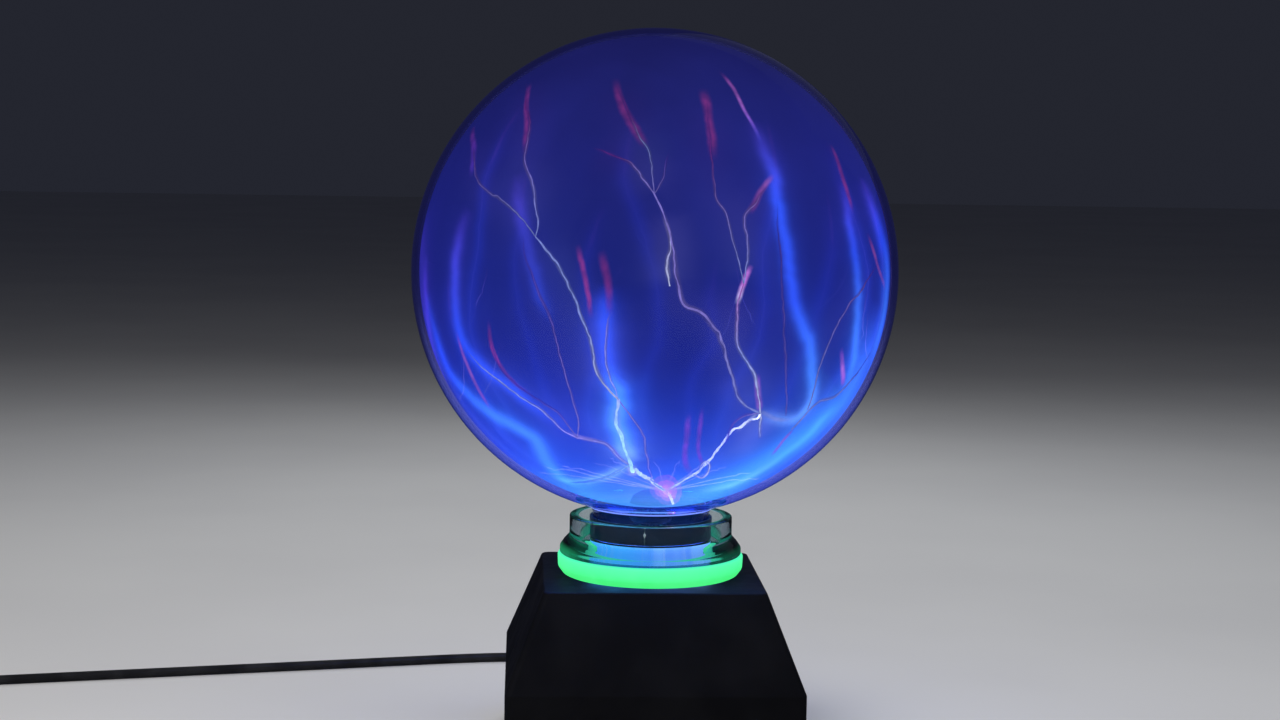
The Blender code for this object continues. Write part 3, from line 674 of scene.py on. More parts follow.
BLACK = (0.0, 0.0, 0.0)
WHITE = (0.80, 0.85, 1.0)
ICE = (0.42, 0.80, 1.0)
PALE = (0.40, 0.50, 1.0)
CYAN = (0.08, 0.55, 1.0)
SKY = (0.08, 0.36, 1.0)
BLUE = (0.03, 0.12, 0.95)
DEEP = (0.02, 0.035, 0.5)
VIOLET = (0.13, 0.06, 0.62)
LILAC = (0.42, 0.34, 0.92)
MAUVE = (0.26, 0.07, 0.60)
PINK = (0.62, 0.20, 0.62)
RED = (0.26, 0.035, 0.17)

# Points of the discharge are whole millimetres from the middle of the globe. Most of those in THREADS and
# VEILS were picked by eye in the photo and put on the globe's wall by another script, with this camera.
TIP = (6, -3, -92)
NODE = (37, -76, -49)
KNOT = (-12, -67, -71)
BEND = (-33, -70, -60)
SPLIT = (-18, -86, -43)
FORK = (28, -94, 2)
CROSSING = (-6, -91, 35)
SHOULDER = (-50, -82, 18)
JOINTS = (NODE, KNOT, BEND, SPLIT, FORK, CROSSING, SHOULDER)

# The threads that the photo shows: colours from start to end, width in mm, brightness, route
THREADS = [
    ((WHITE, WHITE, WHITE), 1.1, 1.8, [
        TIP, (19, -20, -80), (24, -38, -70), (28, -54, -60), (32, -66, -55), NODE,
    ]),
    ((WHITE, WHITE, ICE), 1.6, 1.6, [TIP, (1, -18, -87), (-3, -34, -82), (-8, -50, -77), KNOT]),
    ((WHITE, WHITE), 1.9, 2.2, [(5, -3, -91), TIP, (8, -5, -94), (9, -6, -96)]),
    ((PALE, LILAC), 0.5, 0.6, [
        TIP, (-1, -30, -84), (-4, -59, -76), (-6, -71, -67), (-9, -80, -56), SPLIT,
    ]),
    ((ICE, ICE, PALE), 1.4, 1.3, [KNOT, (-15, -75, -61), (-18, -81, -52), SPLIT]),
    ((PALE, LILAC), 0.5, 0.8, [SPLIT, (-21, -89, -36), (-23, -91, -28), (-23, -93, -20), (-22, -95, -9)]),
    ((WHITE, PALE, PALE), 0.7, 0.65, [
        SPLIT, (-22, -87, -39), (-27, -89, -30), (-30, -91, -18), (-36, -91, -3), (-43, -88, 9),
        SHOULDER,
    ]),
    ((PALE, LILAC, RED, RED), 0.6, 0.55, [
        SHOULDER, (-49, -81, 24), (-51, -75, 36), (-55, -67, 46), (-53, -57, 60), (-54, -28, 77),
    ]),
    ((PALE, LILAC, RED), 0.5, 0.4, [
        SHOULDER, (-57, -76, 26), (-65, -66, 32), (-72, -54, 38), (-75, -33, 54),
    ]),
    ((PALE, LILAC), 0.8, 0.8, [KNOT, (-16, -68, -69), (-21, -72, -63), (-26, -72, -61), BEND]),
    ((LILAC, VIOLET), 0.5, 0.6, [
        BEND, (-33, -77, -51), (-38, -83, -35), (-44, -86, -13), (-48, -85, -4), (-54, -81, 10),
        (-55, -79, 19),
    ]),
    ((LILAC, PALE, PALE), 0.5, 0.9, [
        BEND, (-39, -69, -57), (-46, -71, -50), (-56, -67, -44), (-64, -63, -39), (-70, -59, -34),
        (-76, -55, -28),
    ]),
    ((LILAC, VIOLET, RED), 0.4, 0.5, [
        BEND, (-40, -74, -50), (-46, -73, -46), (-52, -71, -43), (-59, -68, -38), (-64, -67, -33),
        (-67, -68, -21),
    ]),
    ((ICE, SKY), 0.7, 0.8, [KNOT, (-24, -53, -79), (-35, -41, -82)]),
    ((WHITE, PALE, PINK), 0.7, 0.75, [
        NODE, (35, -85, -36), (31, -88, -29), (26, -92, -20), (26, -94, -6), FORK,
    ]),
    ((PALE, LILAC, RED, RED), 0.5, 0.5, [
        FORK, (24, -93, 18), (21, -91, 28), (17, -90, 35), (16, -83, 50), (15, -65, 72),
    ]),
    ((PALE, LILAC, RED), 0.55, 0.6, [FORK, (30, -92, 15), (28, -90, 26), (33, -86, 33), (38, -81, 39)]),
    ((PALE, LILAC, LILAC), 0.8, 0.6, [
        NODE, (29, -84, -44), (25, -89, -33), (18, -95, -17), (12, -97, -9), (5, -98, -4), (1, -97, 14),
        (-2, -95, 26), CROSSING,
    ]),
    ((LILAC, PALE), 0.5, 0.6, [(25, -89, -33), (28, -85, -42), (33, -79, -48)]),
    ((LILAC, LILAC, RED, RED), 0.6, 0.5, [CROSSING, (-15, -85, 46), (-29, -78, 52)]),
    ((LILAC, PALE, RED, RED), 0.45, 0.45, [
        CROSSING, (-7, -86, 47), (-8, -83, 52), (-13, -77, 59), (-20, -58, 77),
    ]),
    ((LILAC, VIOLET), 0.4, 0.4, [CROSSING, (-3, -89, 40), (0, -84, 51)]),
    ((WHITE, LILAC), 0.7, 0.7, [(0, -98, 1), (-1, -97, 10), (0, -97, 17), (-3, -94, 29)]),
    ((WHITE, PALE), 0.8, 0.7, [NODE, (38, -70, -57), (38, -67, -60)]),
    ((PALE, WHITE, PALE), 0.7, 0.9, [
        (13, -61, -75), (16, -59, -77), (18, -60, -76), (19, -64, -72), (17, -67, -69), (15, -65, -71),
        (15, -62, -74),
    ]),
    ((LILAC, VIOLET), 0.5, 0.6, [NODE, (31, -79, -49), (27, -78, -52), (25, -75, -57), (23, -71, -63)]),
    ((PALE, LILAC, RED), 0.5, 0.5, [(57, -63, -49), (62, -71, -26), (72, -66, -8), (86, -47, 8)]),
    ((PALE, PALE, BLUE), 0.6, 0.6, [(51, -61, -57), (61, -61, -47), (72, -51, -43), (84, -41, -28)]),
    ((LILAC, VIOLET), 0.5, 0.35, [(48, -69, -51), (45, -85, -20), (42, -87, 14), (41, -82, 34)]),
]

# The soft veils and red tips: colours from start to end, width in mm, brightness, route
WIDE_VEIL = 5
VEILS = [
    ((CYAN, CYAN, CYAN, SKY, BLUE), 26, 1.1, [
        (8, -40, -89), (22, -43, -85), (34, -48, -79), (45, -50, -71), (63, -48, -58), (77, -42, -44),
        (83, -45, -26), (88, -41, -9),
    ]),
    ((VIOLET, VIOLET, BLUE), 20, 0.4, [
        (-96, -3, 20), (-96, -20, 5), (-95, -20, -13), (-93, -17, -32), (-86, -18, -47),
    ]),
    ((ICE, SKY, BLUE, BLUE, VIOLET), 6, 1.2, [
        NODE, (44, -70, -52), (52, -64, -53), (57, -63, -49), (59, -66, -42), (57, -74, -29),
        (55, -78, -20), (50, -84, -9), (45, -86, 15), (40, -78, 43), (32, -67, 64),
    ]),
    ((SKY, SKY, BLUE, VIOLET), 6, 1.0, [
        (74, -47, -44), (77, -57, -23), (74, -61, 5), (72, -61, 25), (70, -56, 40),
    ]),
    ((SKY, SKY, BLUE, VIOLET), 12, 1.0, [
        (86, -30, -37), (90, -33, -14), (91, -34, 8), (87, -40, 24), (80, -40, 42),
    ]),
    ((SKY, SKY, BLUE), 22, 1.0, [
        (49, -20, -82), (74, -22, -61), (86, -18, -43), (92, -18, -29), (95, -17, -8),
    ]),
    ((ICE, SKY, SKY), 7, 0.9, [
        (17, -46, -84), (33, -44, -81), (49, -48, -70), (57, -48, -64), (65, -48, -55), (73, -44, -48),
    ]),
    ((ICE, SKY, SKY, BLUE), 8, 1.5, [KNOT, (-15, -75, -61), (-18, -81, -52), SPLIT, (-21, -90, -32)]),
    ((SKY, BLUE, BLUE, DEEP), 7, 0.9, [
        SPLIT, (-21, -89, -36), (-23, -92, -24), (-24, -95, -9), (-24, -95, 2),
    ]),
    ((BLUE, DEEP), 15, 0.5, [(-12, -70, -67), (-17, -84, -47), (-22, -92, -24), (-23, -95, 0)]),
    ((BLUE, BLUE, VIOLET), 7, 1.0, [
        (-40, -70, -55), (-56, -67, -44), (-66, -62, -38), (-75, -56, -29), (-79, -53, -22),
        (-81, -53, -12), (-81, -54, 3), (-79, -54, 19), (-76, -56, 28),
    ]),
    ((CYAN, SKY, SKY, BLUE, BLUE), 9, 1.2, [
        (-26, -46, -83), (-35, -39, -83), (-44, -47, -73), (-50, -57, -62), (-65, -48, -55),
        (-76, -40, -48), (-84, -33, -38), (-89, -32, -25), (-94, -28, -6),
    ]),
    ((ICE, SKY), 5, 1.0, [KNOT, (-24, -53, -79), (-35, -41, -82), (-44, -34, -81)]),
    ((VIOLET, VIOLET), 7, 0.7, [
        (-83, -12, -51), (-86, -15, -44), (-91, -20, -30), (-93, -27, -11), (-93, -27, 8),
    ]),
    ((BLUE, VIOLET), 6, 0.5, [(-44, -86, -13), (-50, -84, 1), (-55, -79, 19), (-58, -67, 42)]),
    ((LILAC, LILAC), 3.2, 0.7, [
        KNOT, (-16, -68, -69), (-21, -72, -63), (-26, -72, -61), BEND, (-39, -69, -57),
    ]),
    ((WHITE, PALE, PALE), 3.0, 0.7, [
        (28, -74, -57), (33, -76, -52), NODE, (44, -70, -52), (52, -64, -53),
    ]),
    ((RED, RED), 3.6, 1.7, [(-35, -91, 16), (-33, -92, 9), (-31, -93, 1), (-29, -93, -12)]),
    ((RED, RED, VIOLET), 4.8, 1.0, [(-26, -94, 14), (-23, -95, 1), (-22, -95, -12)]),
    ((RED, RED), 3.2, 1.2, [(-53, -30, 77), (-54, -48, 66), (-54, -57, 58), (-55, -66, 48)]),
    ((RED, RED), 4.4, 1.1, [(-20, -54, 79), (-18, -68, 69), (-13, -77, 59), (-8, -83, 52)]),
    ((RED, RED), 4.9, 1.1, [(14, -61, 76), (16, -75, 62), (17, -84, 48)]),
    ((RED, PINK, BLUE), 2.6, 1.0, [(21, -48, 82), (27, -58, 75), (31, -66, 66), (36, -73, 53)]),
    ((RED, MAUVE), 3.0, 1.0, [(67, -10, 71), (74, -11, 64), (78, -20, 56)]),
    ((RED, RED), 3.8, 1.3, [(66, -48, 55), (70, -54, 42), (74, -58, 28)]),
    ((RED, PINK), 3.6, 0.9, [(80, -52, 20), (86, -47, 7), (91, -37, -3)]),
    ((RED, VIOLET), 4.5, 0.9, [(-75, -20, 59), (-75, -39, 50), (-75, -49, 39)]),
    ((PINK, RED), 3.4, 0.9, [(40, -78, 43), (34, -85, 35), (30, -89, 28)]),
    ((MAUVE, PINK, MAUVE), 3.4, 1.2, [(69, -64, -24), (71, -57, -34), (73, -50, -42)]),
    ((RED, RED, VIOLET), 3.0, 1.3, [(-67, -68, -14), (-66, -67, -27), (-59, -68, -38), (-50, -72, -44)]),
    ((MAUVE, PINK, MAUVE), 3.4, 0.9, [
        (-80, -51, -20), (-77, -51, -32), (-72, -50, -44), (-66, -49, -53),
    ]),
    ((MAUVE, PINK, MAUVE), 3.0, 0.8, [(44, -53, -69), (48, -58, -62), (52, -60, -56)]),
    ((MAUVE, MAUVE), 3.4, 0.9, [(12, -60, -76), (9, -70, -67), (9, -80, -55), (9, -84, -47)]),
    ((MAUVE, MAUVE), 2.6, 0.9, [(17, -63, -73), (14, -72, -65), (14, -80, -55), (14, -85, -45)]),
    ((PINK, MAUVE), 3.4, 1.1, [(37, -76, -49), (36, -81, -42), (35, -86, -33)]),
    ((PINK, PINK, WHITE), 3.0, 1.5, [(31, -92, 9), (28, -94, 2), (26, -95, -6)]),
]


# The haze's own colour at shares of the globe's height, from the bottom
HAZE = [
    (0.0, (0.14, 0.66, 1.20)),
    (0.03, (0.15, 0.72, 1.15)),
    (0.066, (0.06, 0.33, 1.12)),
    (0.115, (0.030, 0.105, 0.95)),
    (0.165, (0.024, 0.070, 0.68)),
    (0.26, (0.013, 0.042, 0.47)),
    (0.36, (0.013, 0.031, 0.33)),
    (0.51, (0.014, 0.028, 0.25)),
    (0.76, (0.017, 0.023, 0.19)),
    (1.0, (0.015, 0.017, 0.10)),
]


def haze_at(height):
    share = min(max(0.5 + 0.5 * height / FILM_RADIUS, 0.0), 1.0)
    for (low, first), (high, second) in zip(HAZE, HAZE[1:]):
        if share <= high:
            return Vector(first).lerp(Vector(second), (share - low) / (high - low))
    return Vector(HAZE[-1][1])


def lightened(colour, height):
    """A glow never darkens the haze behind it."""
    return Vector([max(own, 0.85 * haze) for own, haze in zip(colour, haze_at(height))])


def wall_point(point):
    return point.normalized() * STREAMER_RADIUS


def hue(colours, share):
    """The colour a share of the way along a list of colours."""
    place_in = min(max(share, 0.0), 0.9999) * (len(colours) - 1)
    first = int(place_in)
    blend = place_in - first
    return Vector(colours[first]).lerp(Vector(colours[first + 1]), blend)


def wandering(route, spacing, amplitude):
    """A route in metres, on the wall where its points are, with a small wander that is the same each run."""
    points = catmull([Vector(p) * MM for p in route], spacing)
    shaped = []
    for i, point in enumerate(points):
        share = i / (len(points) - 1)
        free = 0.45 if point.length < FILM_RADIUS - 3 * MM else 1.0
        sway = amplitude * free * min(1.0, 6 * share, 6 * (1 - share))
        point = point + noise.noise_vector(point * 90) * sway + noise.noise_vector(point * 320) * sway * 0.45
        pull = min(max((point.length / STREAMER_RADIUS - 0.95) / 0.035, 0.0), 1.0)
        shaped.append(point.lerp(wall_point(point), pull * pull * (3 - 2 * pull)))
    return shaped


def scattered():
    """Threads and veils for the sides and back, which the photo doesn't show, in the style of the front."""
    chance = random.Random(DISCHARGE_SEED)
    threads, veils = [], []
    count = 11
    for number in range(count):
        azimuth = -8 + 196 * (number + chance.uniform(0.2, 0.8)) / count
        top = chance.uniform(-5, 50)
        route = [TIP]
        drift = chance.uniform(-10, 10)
        for step in range(6):
            share = step / 5
            latitude = -58 + (top + 58) * share
            angle = math.radians(azimuth + drift * share + chance.uniform(-3.5, 3.5))
            flat = 98 * math.cos(math.radians(latitude))
            route.append((
                round(flat * math.cos(angle)), round(flat * math.sin(angle)),
                round(98 * math.sin(math.radians(latitude))),
            ))
        bright = chance.uniform(0.6, 1.0)
        threads.append(((WHITE, PALE, LILAC, RED), chance.uniform(0.5, 0.9), bright, route))
        veils.append(((SKY, BLUE, BLUE, VIOLET), chance.uniform(7, 12), bright, route[1:]))
        veils.append(((PINK, RED), 3.5, bright, route[-2:]))
        fork = route[chance.choice((3, 4))]
        side = chance.choice((-1, 1)) * chance.uniform(7, 13)
        turn = Matrix.Rotation(math.radians(side), 3, "Z")
        end = turn @ Vector(fork) + Vector((0, 0, chance.uniform(20, 34)))
        half_way = turn.lerp(Matrix.Identity(3), 0.5) @ Vector(fork) + Vector((0, 0, 9))
        threads.append(((PALE, LILAC, RED), 0.5, 0.7 * bright, [fork, tuple(half_way), tuple(end)]))
    return threads, veils


def lit_piece(mesh, finish, location=(0, 0, GLOBE_Z)):
    """A piece of the discharge, which casts no shadow."""
    place(mesh, "base", "globe_glass", finish=finish, location=location).visible_shadow = False


def tint_vertices(mesh, colours):
    """Keeps one colour with its alpha in each vertex."""
    mesh.color_attributes.new("glow", "FLOAT_COLOR", "POINT").data.foreach_set("color", np.ravel(colours))


def swept(name, rows, colours, closed):
    """One mesh from many strips or tubes, each a list of rows of points, with a colour for each point."""
    places, faces, tints = [], [], []
    for strip, strip_colours in zip(rows, colours):
        across = len(strip[0])
        start = len(places)
        for row, row_colours in zip(strip, strip_colours):
            places.extend(row)
            tints.extend(row_colours)
        reach = across if closed else across - 1
        for i in range(len(strip) - 1):
            for j in range(reach):
                a = start + i * across + j
                b = start + i * across + (j + 1) % across
                faces.append((a, b, b + across, a + across))
        if closed:
            faces.append(tuple(start + j for j in reversed(range(across))))
            faces.append(tuple(start + (len(strip) - 1) * across + j for j in range(across)))
    mesh = bpy.data.meshes.new(name)
    mesh.from_pydata(places, [], faces)
    tint_vertices(mesh, tints)
    mesh.shade_smooth()
    return mesh


def sideways(points, i):
    """The direction along a route, and across it in the wall."""
    along = (points[min(i + 1, len(points) - 1)] - points[max(i - 1, 0)]).normalized()
    across = along.cross(points[i]).normalized()
    return along, across


def thread_mesh(threads):
    rows, colours = [], []
    sides = 6
    for tints, width, bright, route in threads:
        points = wandering(route, 1.2 * MM, THREAD_WANDER)
        joined_on = tuple(route[-1]) in JOINTS
        strip, strip_colours = [], []
        for i, point in enumerate(points):
            share = i / (len(points) - 1)
            left = 1.0 if joined_on else 1 - share
            along, across = sideways(points, i)
            out = along.cross(across)
            swell = 0.85 + 0.55 * noise.noise(point * 260)
            radius = 0.5 * width * MM * swell * (0.45 + 0.55 * left) * min(1.0, 5 * left + 0.15)
            inside = point.length < FILM_RADIUS
            boost = bright * (2.4 if inside else 1.0) * min(1.0, 3.5 * left + 0.25)
            colour = hue(tints, share) * boost
            if not inside:
                colour = lightened(colour, point.z)
            strip.append([
                point + radius * (math.cos(turn) * across + math.sin(turn) * out)
                for turn in (2 * math.pi * k / sides for k in range(sides))
            ])
            strip_colours.append([(*colour, 1.0)] * sides)
        rows.append(strip)
        colours.append(strip_colours)
    return swept("discharge_threads", rows, colours, closed=True)


def veil_mesh(veils):
    rows, colours = [], []
    columns = 9
    for number, (tints, width, bright, route) in enumerate(veils):
        reach = VEIL_RADIUS + 0.4 * MM * number / len(veils)
        points = [p for p in wandering(route, 1.6 * MM, 0.6 * MM) if p.length > 0.97 * STREAMER_RADIUS]
        if len(points) < 6:
            continue
        strip, strip_colours = [], []
        for i, point in enumerate(points):
            share = i / (len(points) - 1)
            across = sideways(points, i)[1]
            fade = min(1.0, 4 * share, 4 * (1 - share))
            fade = fade * fade * (3 - 2 * fade)
            spread = width * MM / 2 * (1.0 + 0.3 * noise.noise(point * 60))
            colour = lightened(hue(tints, share) * bright, point.z)
            row, row_colours = [], []
            for k in range(columns):
                u = 2 * k / (columns - 1) - 1
                row.append((point + across * u * spread).normalized() * reach)
                row_colours.append((*colour, 0.7 * (1 - u * u) ** 2 * fade))
            strip.append(row)
            strip_colours.append(row_colours)
        rows.append(strip)
        colours.append(strip_colours)
    return swept("discharge_veils", rows, colours, closed=False)


def glow_at(places, tints, bright, route, reach):
    """The light of one route at each place on the wall, fading over a reach."""
    near_wall = [p for p in wandering(route, 1.5 * MM, THREAD_WANDER) if p.length > 0.9 * STREAMER_RADIUS]
    points = np.array([wall_point(p) for p in near_wall])
    total = np.zeros_like(places)
    if len(points) < 2:
        return total
    shares = np.linspace(0.0, 1.0, len(points))
    fades = np.clip(np.minimum(5 * shares + 0.1, 5 * (1 - shares)), 0.0, 1.0)
    colours = np.array([hue(tints, share) for share in shares]) * (bright * fades)[:, None]
    middle = points.mean(axis=0)
    limit = np.linalg.norm(points - middle, axis=1).max() + 3.2 * reach
    near = np.nonzero(np.linalg.norm(places - middle, axis=1) < limit)[0]
    distance = np.linalg.norm(places[near][:, None] - points[None], axis=2)
    share = np.exp(-0.5 * (distance.min(axis=1) / reach) ** 2)
    total[near] = share[:, None] * colours[distance.argmin(axis=1)]
    return total


def glowing(name, grain, see_through):
    """A surface that only shines, in its vertices' own colours."""
    made = Finish(name, BLACK, 1.0, emission_strength=1.0, specular_ior_level=0.0)
    colour, alpha = made.tints()
    flicker = made.between(made.noise(grain, 3.0), 0.25, 0.75, 0.72, 1.2)
    made.shine(made.mix(1.0, colour, flicker, "MULTIPLY"))
    if see_through:
        made.feed(made.shader.inputs["Alpha"], made.both(alpha, flicker))
    return made


def ball_section(radius, angle, steps):
    """The (radius, height) section of a ball, from its top down to an angle from the upright."""
    angles = [angle * i / steps for i in range(steps + 1)]
    return [(radius * math.sin(a), radius * math.cos(a)) for a in angles]


def gas_film(threads, veils):
    """The glowing gas is a thin film just inside the glass, open over the neck."""
    opening = math.asin(9.0 * MM / FILM_RADIUS)
    mesh = turned("gas_film", ball_section(FILM_RADIUS, math.pi - opening, 224), 448)
    places = np.empty(len(mesh.vertices) * 3)
    mesh.vertices.foreach_get("co", places)
    places = places.reshape(-1, 3)
    light = np.zeros_like(places)
    for tints, width, bright, route in veils:
        light += glow_at(places, tints, bright, route, width * MM / 3.0)
        light += glow_at(places, tints, 0.13 * bright, route, width * MM * 0.9)
    for tints, width, bright, route in threads:
        light += glow_at(places, tints, 0.06 * bright, route, 6 * MM)
    tint_vertices(mesh, np.concatenate([light, np.ones((len(light), 1))], axis=1))
    film = Finish("gas_film", (0.004, 0.004, 0.01), 0.6, emission_strength=1.0, specular_ior_level=0.0,
                  alpha=0.66)
    ramp = film.tree.nodes.new("ShaderNodeValToRGB")
    levels = ramp.color_ramp.elements
    while len(levels) < len(HAZE):
        levels.new(0.5)
    for level, (position, colour) in zip(levels, HAZE):
        level.position = position
        level.color = (*colour, 1.0)
    linear = film.math("MULTIPLY_ADD", film.axis("Z"), 0.5 / FILM_RADIUS, 0.5)
    film.feed(ramp.inputs["Fac"], linear)
    drift = film.between(film.noise(14.0, 4.0, stretch=(1.0, 1.0, 0.5)), 0.3, 0.7, 0.8, 1.2)
    haze = film.mix(1.0, ramp.outputs["Color"], drift, "MULTIPLY")
    film.shine(film.mix(1.0, haze, film.tints()[0], "ADD"))
    lit_piece(mesh, film)


def gas_core():
    """A clear ball with a flat bottom takes up light, so that the gas dims what is behind it."""
    flat = -0.93
    profile = ball_section(CORE_RADIUS, math.acos(flat), 64) + [(0.0, flat * CORE_RADIUS)]
    core = Finish("gas_core", (1.0, 1.0, 1.0), 0.0, transmission_weight=1.0, emission_strength=1.0)
    core.set("IOR", 1.0)
    wisps = core.between(core.noise(22.0, 5.0), 0.45, 0.8)
    core.shine(core.mix(wisps, (0.0, 0.0, 0.004), (0.004, 0.003, 0.03)))
    absorbing(core, (0.20, 0.25, 0.62), 13.0)
    lit_piece(turned("gas_core", profile, 128), core)


def discharge():
    """Wide veils are painted on the gas film, and narrow ones and the threads stand just outside it."""
    noise.seed_set(DISCHARGE_SEED)
    extra_threads, extra_veils = scattered()
    threads = THREADS + extra_threads
    veils = VEILS + extra_veils
    gas_film(threads, [veil for veil in veils if veil[1] >= WIDE_VEIL])
    gas_core()
    thread_finish = glowing("discharge_thread", 420.0, see_through=False)
    veil_finish = glowing("discharge_veil", 130.0, see_through=True)
    narrow = [veil for veil in veils if veil[1] < WIDE_VEIL]
    narrow += [(tints, 3.6 * width, 0.45 * bright, route) for tints, width, bright, route in threads]
    lit_piece(thread_mesh(threads), thread_finish)
    lit_piece(veil_mesh(narrow), veil_finish)


def hot_spot():
    """The bright foot of the discharge on the electrode, in three shells that fade outwards."""
    shells = ((1.5, 1.0, (3.0, 2.1, 2.4)), (2.8, 0.5, (3.2, 0.8, 1.2)), (4.6, 0.35, (2.6, 0.45, 1.0)),
              (6.8, 0.18, (1.8, 0.3, 1.0)))
    for number, (radius, alpha, colour) in enumerate(shells, 1):
        mesh = turned(f"hot_spot_{number}", ball_section(radius * MM, math.pi, 16), 32)
        for vertex in mesh.vertices:
            vertex.co *= 1.0 + 0.12 * noise.noise(vertex.co * 700)
        finish = Finish(mesh.name, BLACK, 1.0, emission_strength=1.6, alpha=alpha, specular_ior_level=0.0)
        share = finish.between(finish.noise(500.0, 2.0), 0.35, 0.65)
        dimmer = tuple(0.75 * c for c in colour)
        finish.shine(finish.mix(share, colour, dimmer))
        lit_piece(mesh, finish, Vector(TIP) * MM + Vector((0, 0, GLOBE_Z)))


# ---- Globe and neck ----


def arc(centre, radius, start, end, steps):
    """Points (radius, height) along an arc, angles in degrees."""
    return [
        (
            centre[0] + radius * math.cos(math.radians(start + (end - start) * i / steps)),
            centre[1] + radius * math.sin(math.radians(start + (end - start) * i / steps)),
        )
        for i in range(steps + 1)
    ]


def globe_profile():
    """The glass wall's section: sphere, fillet and neck, outside first and then inside."""
    centre_r = NECK_RADIUS + NECK_FILLET
    reach = GLOBE_RADIUS + NECK_FILLET
    centre_z = GLOBE_Z - math.sqrt(reach**2 - centre_r**2)
    meet = math.degrees(math.asin(centre_r / reach))
    outer = arc((0, GLOBE_Z), GLOBE_RADIUS, 90, meet - 90, 90)
    outer += arc((centre_r, centre_z), NECK_FILLET, 90 + meet, 180, 10)[1:]
    inner = arc((centre_r, centre_z), NECK_FILLET + GLASS, 180, 90 + meet, 10)
    inner += arc((0, GLOBE_Z), GLOBE_RADIUS - GLASS, meet - 90, 90, 90)[1:]
    rim = [
        (NECK_RADIUS, NECK_BOTTOM + 0.8 * MM),
        (NECK_RADIUS - 0.5 * MM, NECK_BOTTOM),
        (NECK_RADIUS - GLASS + 0.5 * MM, NECK_BOTTOM),
        (NECK_RADIUS - GLASS, NECK_BOTTOM + 0.8 * MM),
    ]
    profile = outer + rim + inner
    profile[0] = (0.0, GLOBE_Z + GLOBE_RADIUS)
    profile[-1] = (0.0, GLOBE_Z + GLOBE_RADIUS - GLASS)
    return profile


def absorbing(finish, colour, density):
    """Fills a clear finish with a medium that takes up light."""
    medium = finish.tree.nodes.new("ShaderNodeVolumeAbsorption")
    medium.inputs["Color"].default_value = (*colour, 1.0)
    medium.inputs["Density"].default_value = density
    finish.tree.links.new(medium.outputs["Volume"], finish.tree.nodes["Material Output"].inputs["Volume"])


def clear_glass(name, ior, tint):
    """Clear and polished, with the faint waviness of blown or moulded work and a slight drift in its tint."""
    made = Finish(name, tint, 0.0, transmission_weight=1.0)
    made.set("IOR", ior)
    made.vary(tint, tuple(0.97 * c for c in tint), 20.0)
    made.bump(made.noise(26.0, 1.0), 0.05 * MM)
    return made


def globe():
    glass = clear_glass("globe_glass", 1.04, (0.97, 0.98, 1.0))
    glass.set("Coat Weight", 0.15)
    glass.set("Coat Roughness", 0.0)
    absorbing(glass, (0.10, 0.15, 0.82), 130.0)
    # Painted light: the glass itself glows, brighter blue low on the globe, faint above and almost none on
    # the neck, for the gas light seen in it.
    height = glass.axis("Z")
    low = glass.between(height, 106 * MM, 180 * MM)
    shine = glass.mix(low, (0.004, 0.016, 0.12), (0.002, 0.002, 0.015))
    above = glass.between(height, 105 * MM, 110 * MM)
    light = glass.mix(above, (0.0, 0.001, 0.006), shine)
    # Two thin bright arcs where the globe meets the neck are painted reflections.
    for middle, half_width, colour in ((105.4, 0.5, (0.20, 0.32, 1.1)), (107.8, 0.35, (0.10, 0.18, 0.8))):
        light = glass.mix(glass.line(height, middle * MM, 0.0, half_width * MM), light, colour)
    glass.shine(light)
    glass.set("Emission Strength", 1.0)
    mesh = turned("globe_skin", globe_profile(), 160)
    place(mesh, "base", "globe_glass", ["glass_globe"], glass).visible_shadow = False
    frame["nodes"]["glass_stem"].visible_shadow = False


def electrode_ball():
    """The dark metal ball that the discharge starts from, with a socket for its pin."""
    profile = filleted(in_mm(
        (0, 112, 0), (4, 111.6, 3), (7.6, 109.6, 3), (9.2, 106, 3), (9.4, 102, 3), (8.4, 99.2, 1.5),
        (6.4, 98.4, 0.5), (1.3, 98.4, 0), (1.3, 104.4, 0), (0, 104.4, 0)), 5)
    dark = metal("electrode_metal", (0.10, 0.10, 0.12), 0.5, scratches=800.0)
    dark.bump(dark.noise(1500.0, 2.0), 0.04 * MM)
    place(turned("electrode_ball", profile, 64), "base", "steel", ["electrode"], dark)


def neck_tape():
    """The dark tape, wound once round the neck, with its end over its start."""
    span = math.radians(374)
    lapped = 0.9
    steps = 150
    thick = 1.0 * MM
    rows = []
    for i in range(steps + 1):
        share = i / steps
        angle = SEAM_ANGLE + span * share
        inner = SLEEVE_RADIUS + 0.3 * MM * max(0.0, (share - lapped) / (1 - lapped))
        outer = inner + thick
        soft = outer - 0.1 * MM
        section = [(inner, 92.8), (soft, 92.8), (outer, 92.95), (outer, 101.0), (soft, 101.15),
                   (inner, 101.15)]
        rows.append([(reach * math.cos(angle), reach * math.sin(angle), z * MM) for reach, z in section])
    # Painted light: the tape is given a faint blue glow, for the discharge's light falling on it.
    tape = Finish("dark_band", (0.003, 0.008, 0.012), 0.3, specular_ior_level=0.12, emission_strength=1.0,
                  emission_color=(0.002, 0.006, 0.022, 1.0))
    tape.vary((0.003, 0.008, 0.012), (0.006, 0.016, 0.028), 110.0)
    tape.rough(0.25, 0.42, 180.0)
    tape.bump(tape.noise(260.0, 3.0, stretch=(1.0, 1.0, 0.3)), 0.05 * MM)
    place(skinned("band_skin", rows, caps=True), "base", "dark_band", ["neck_band"], tape)


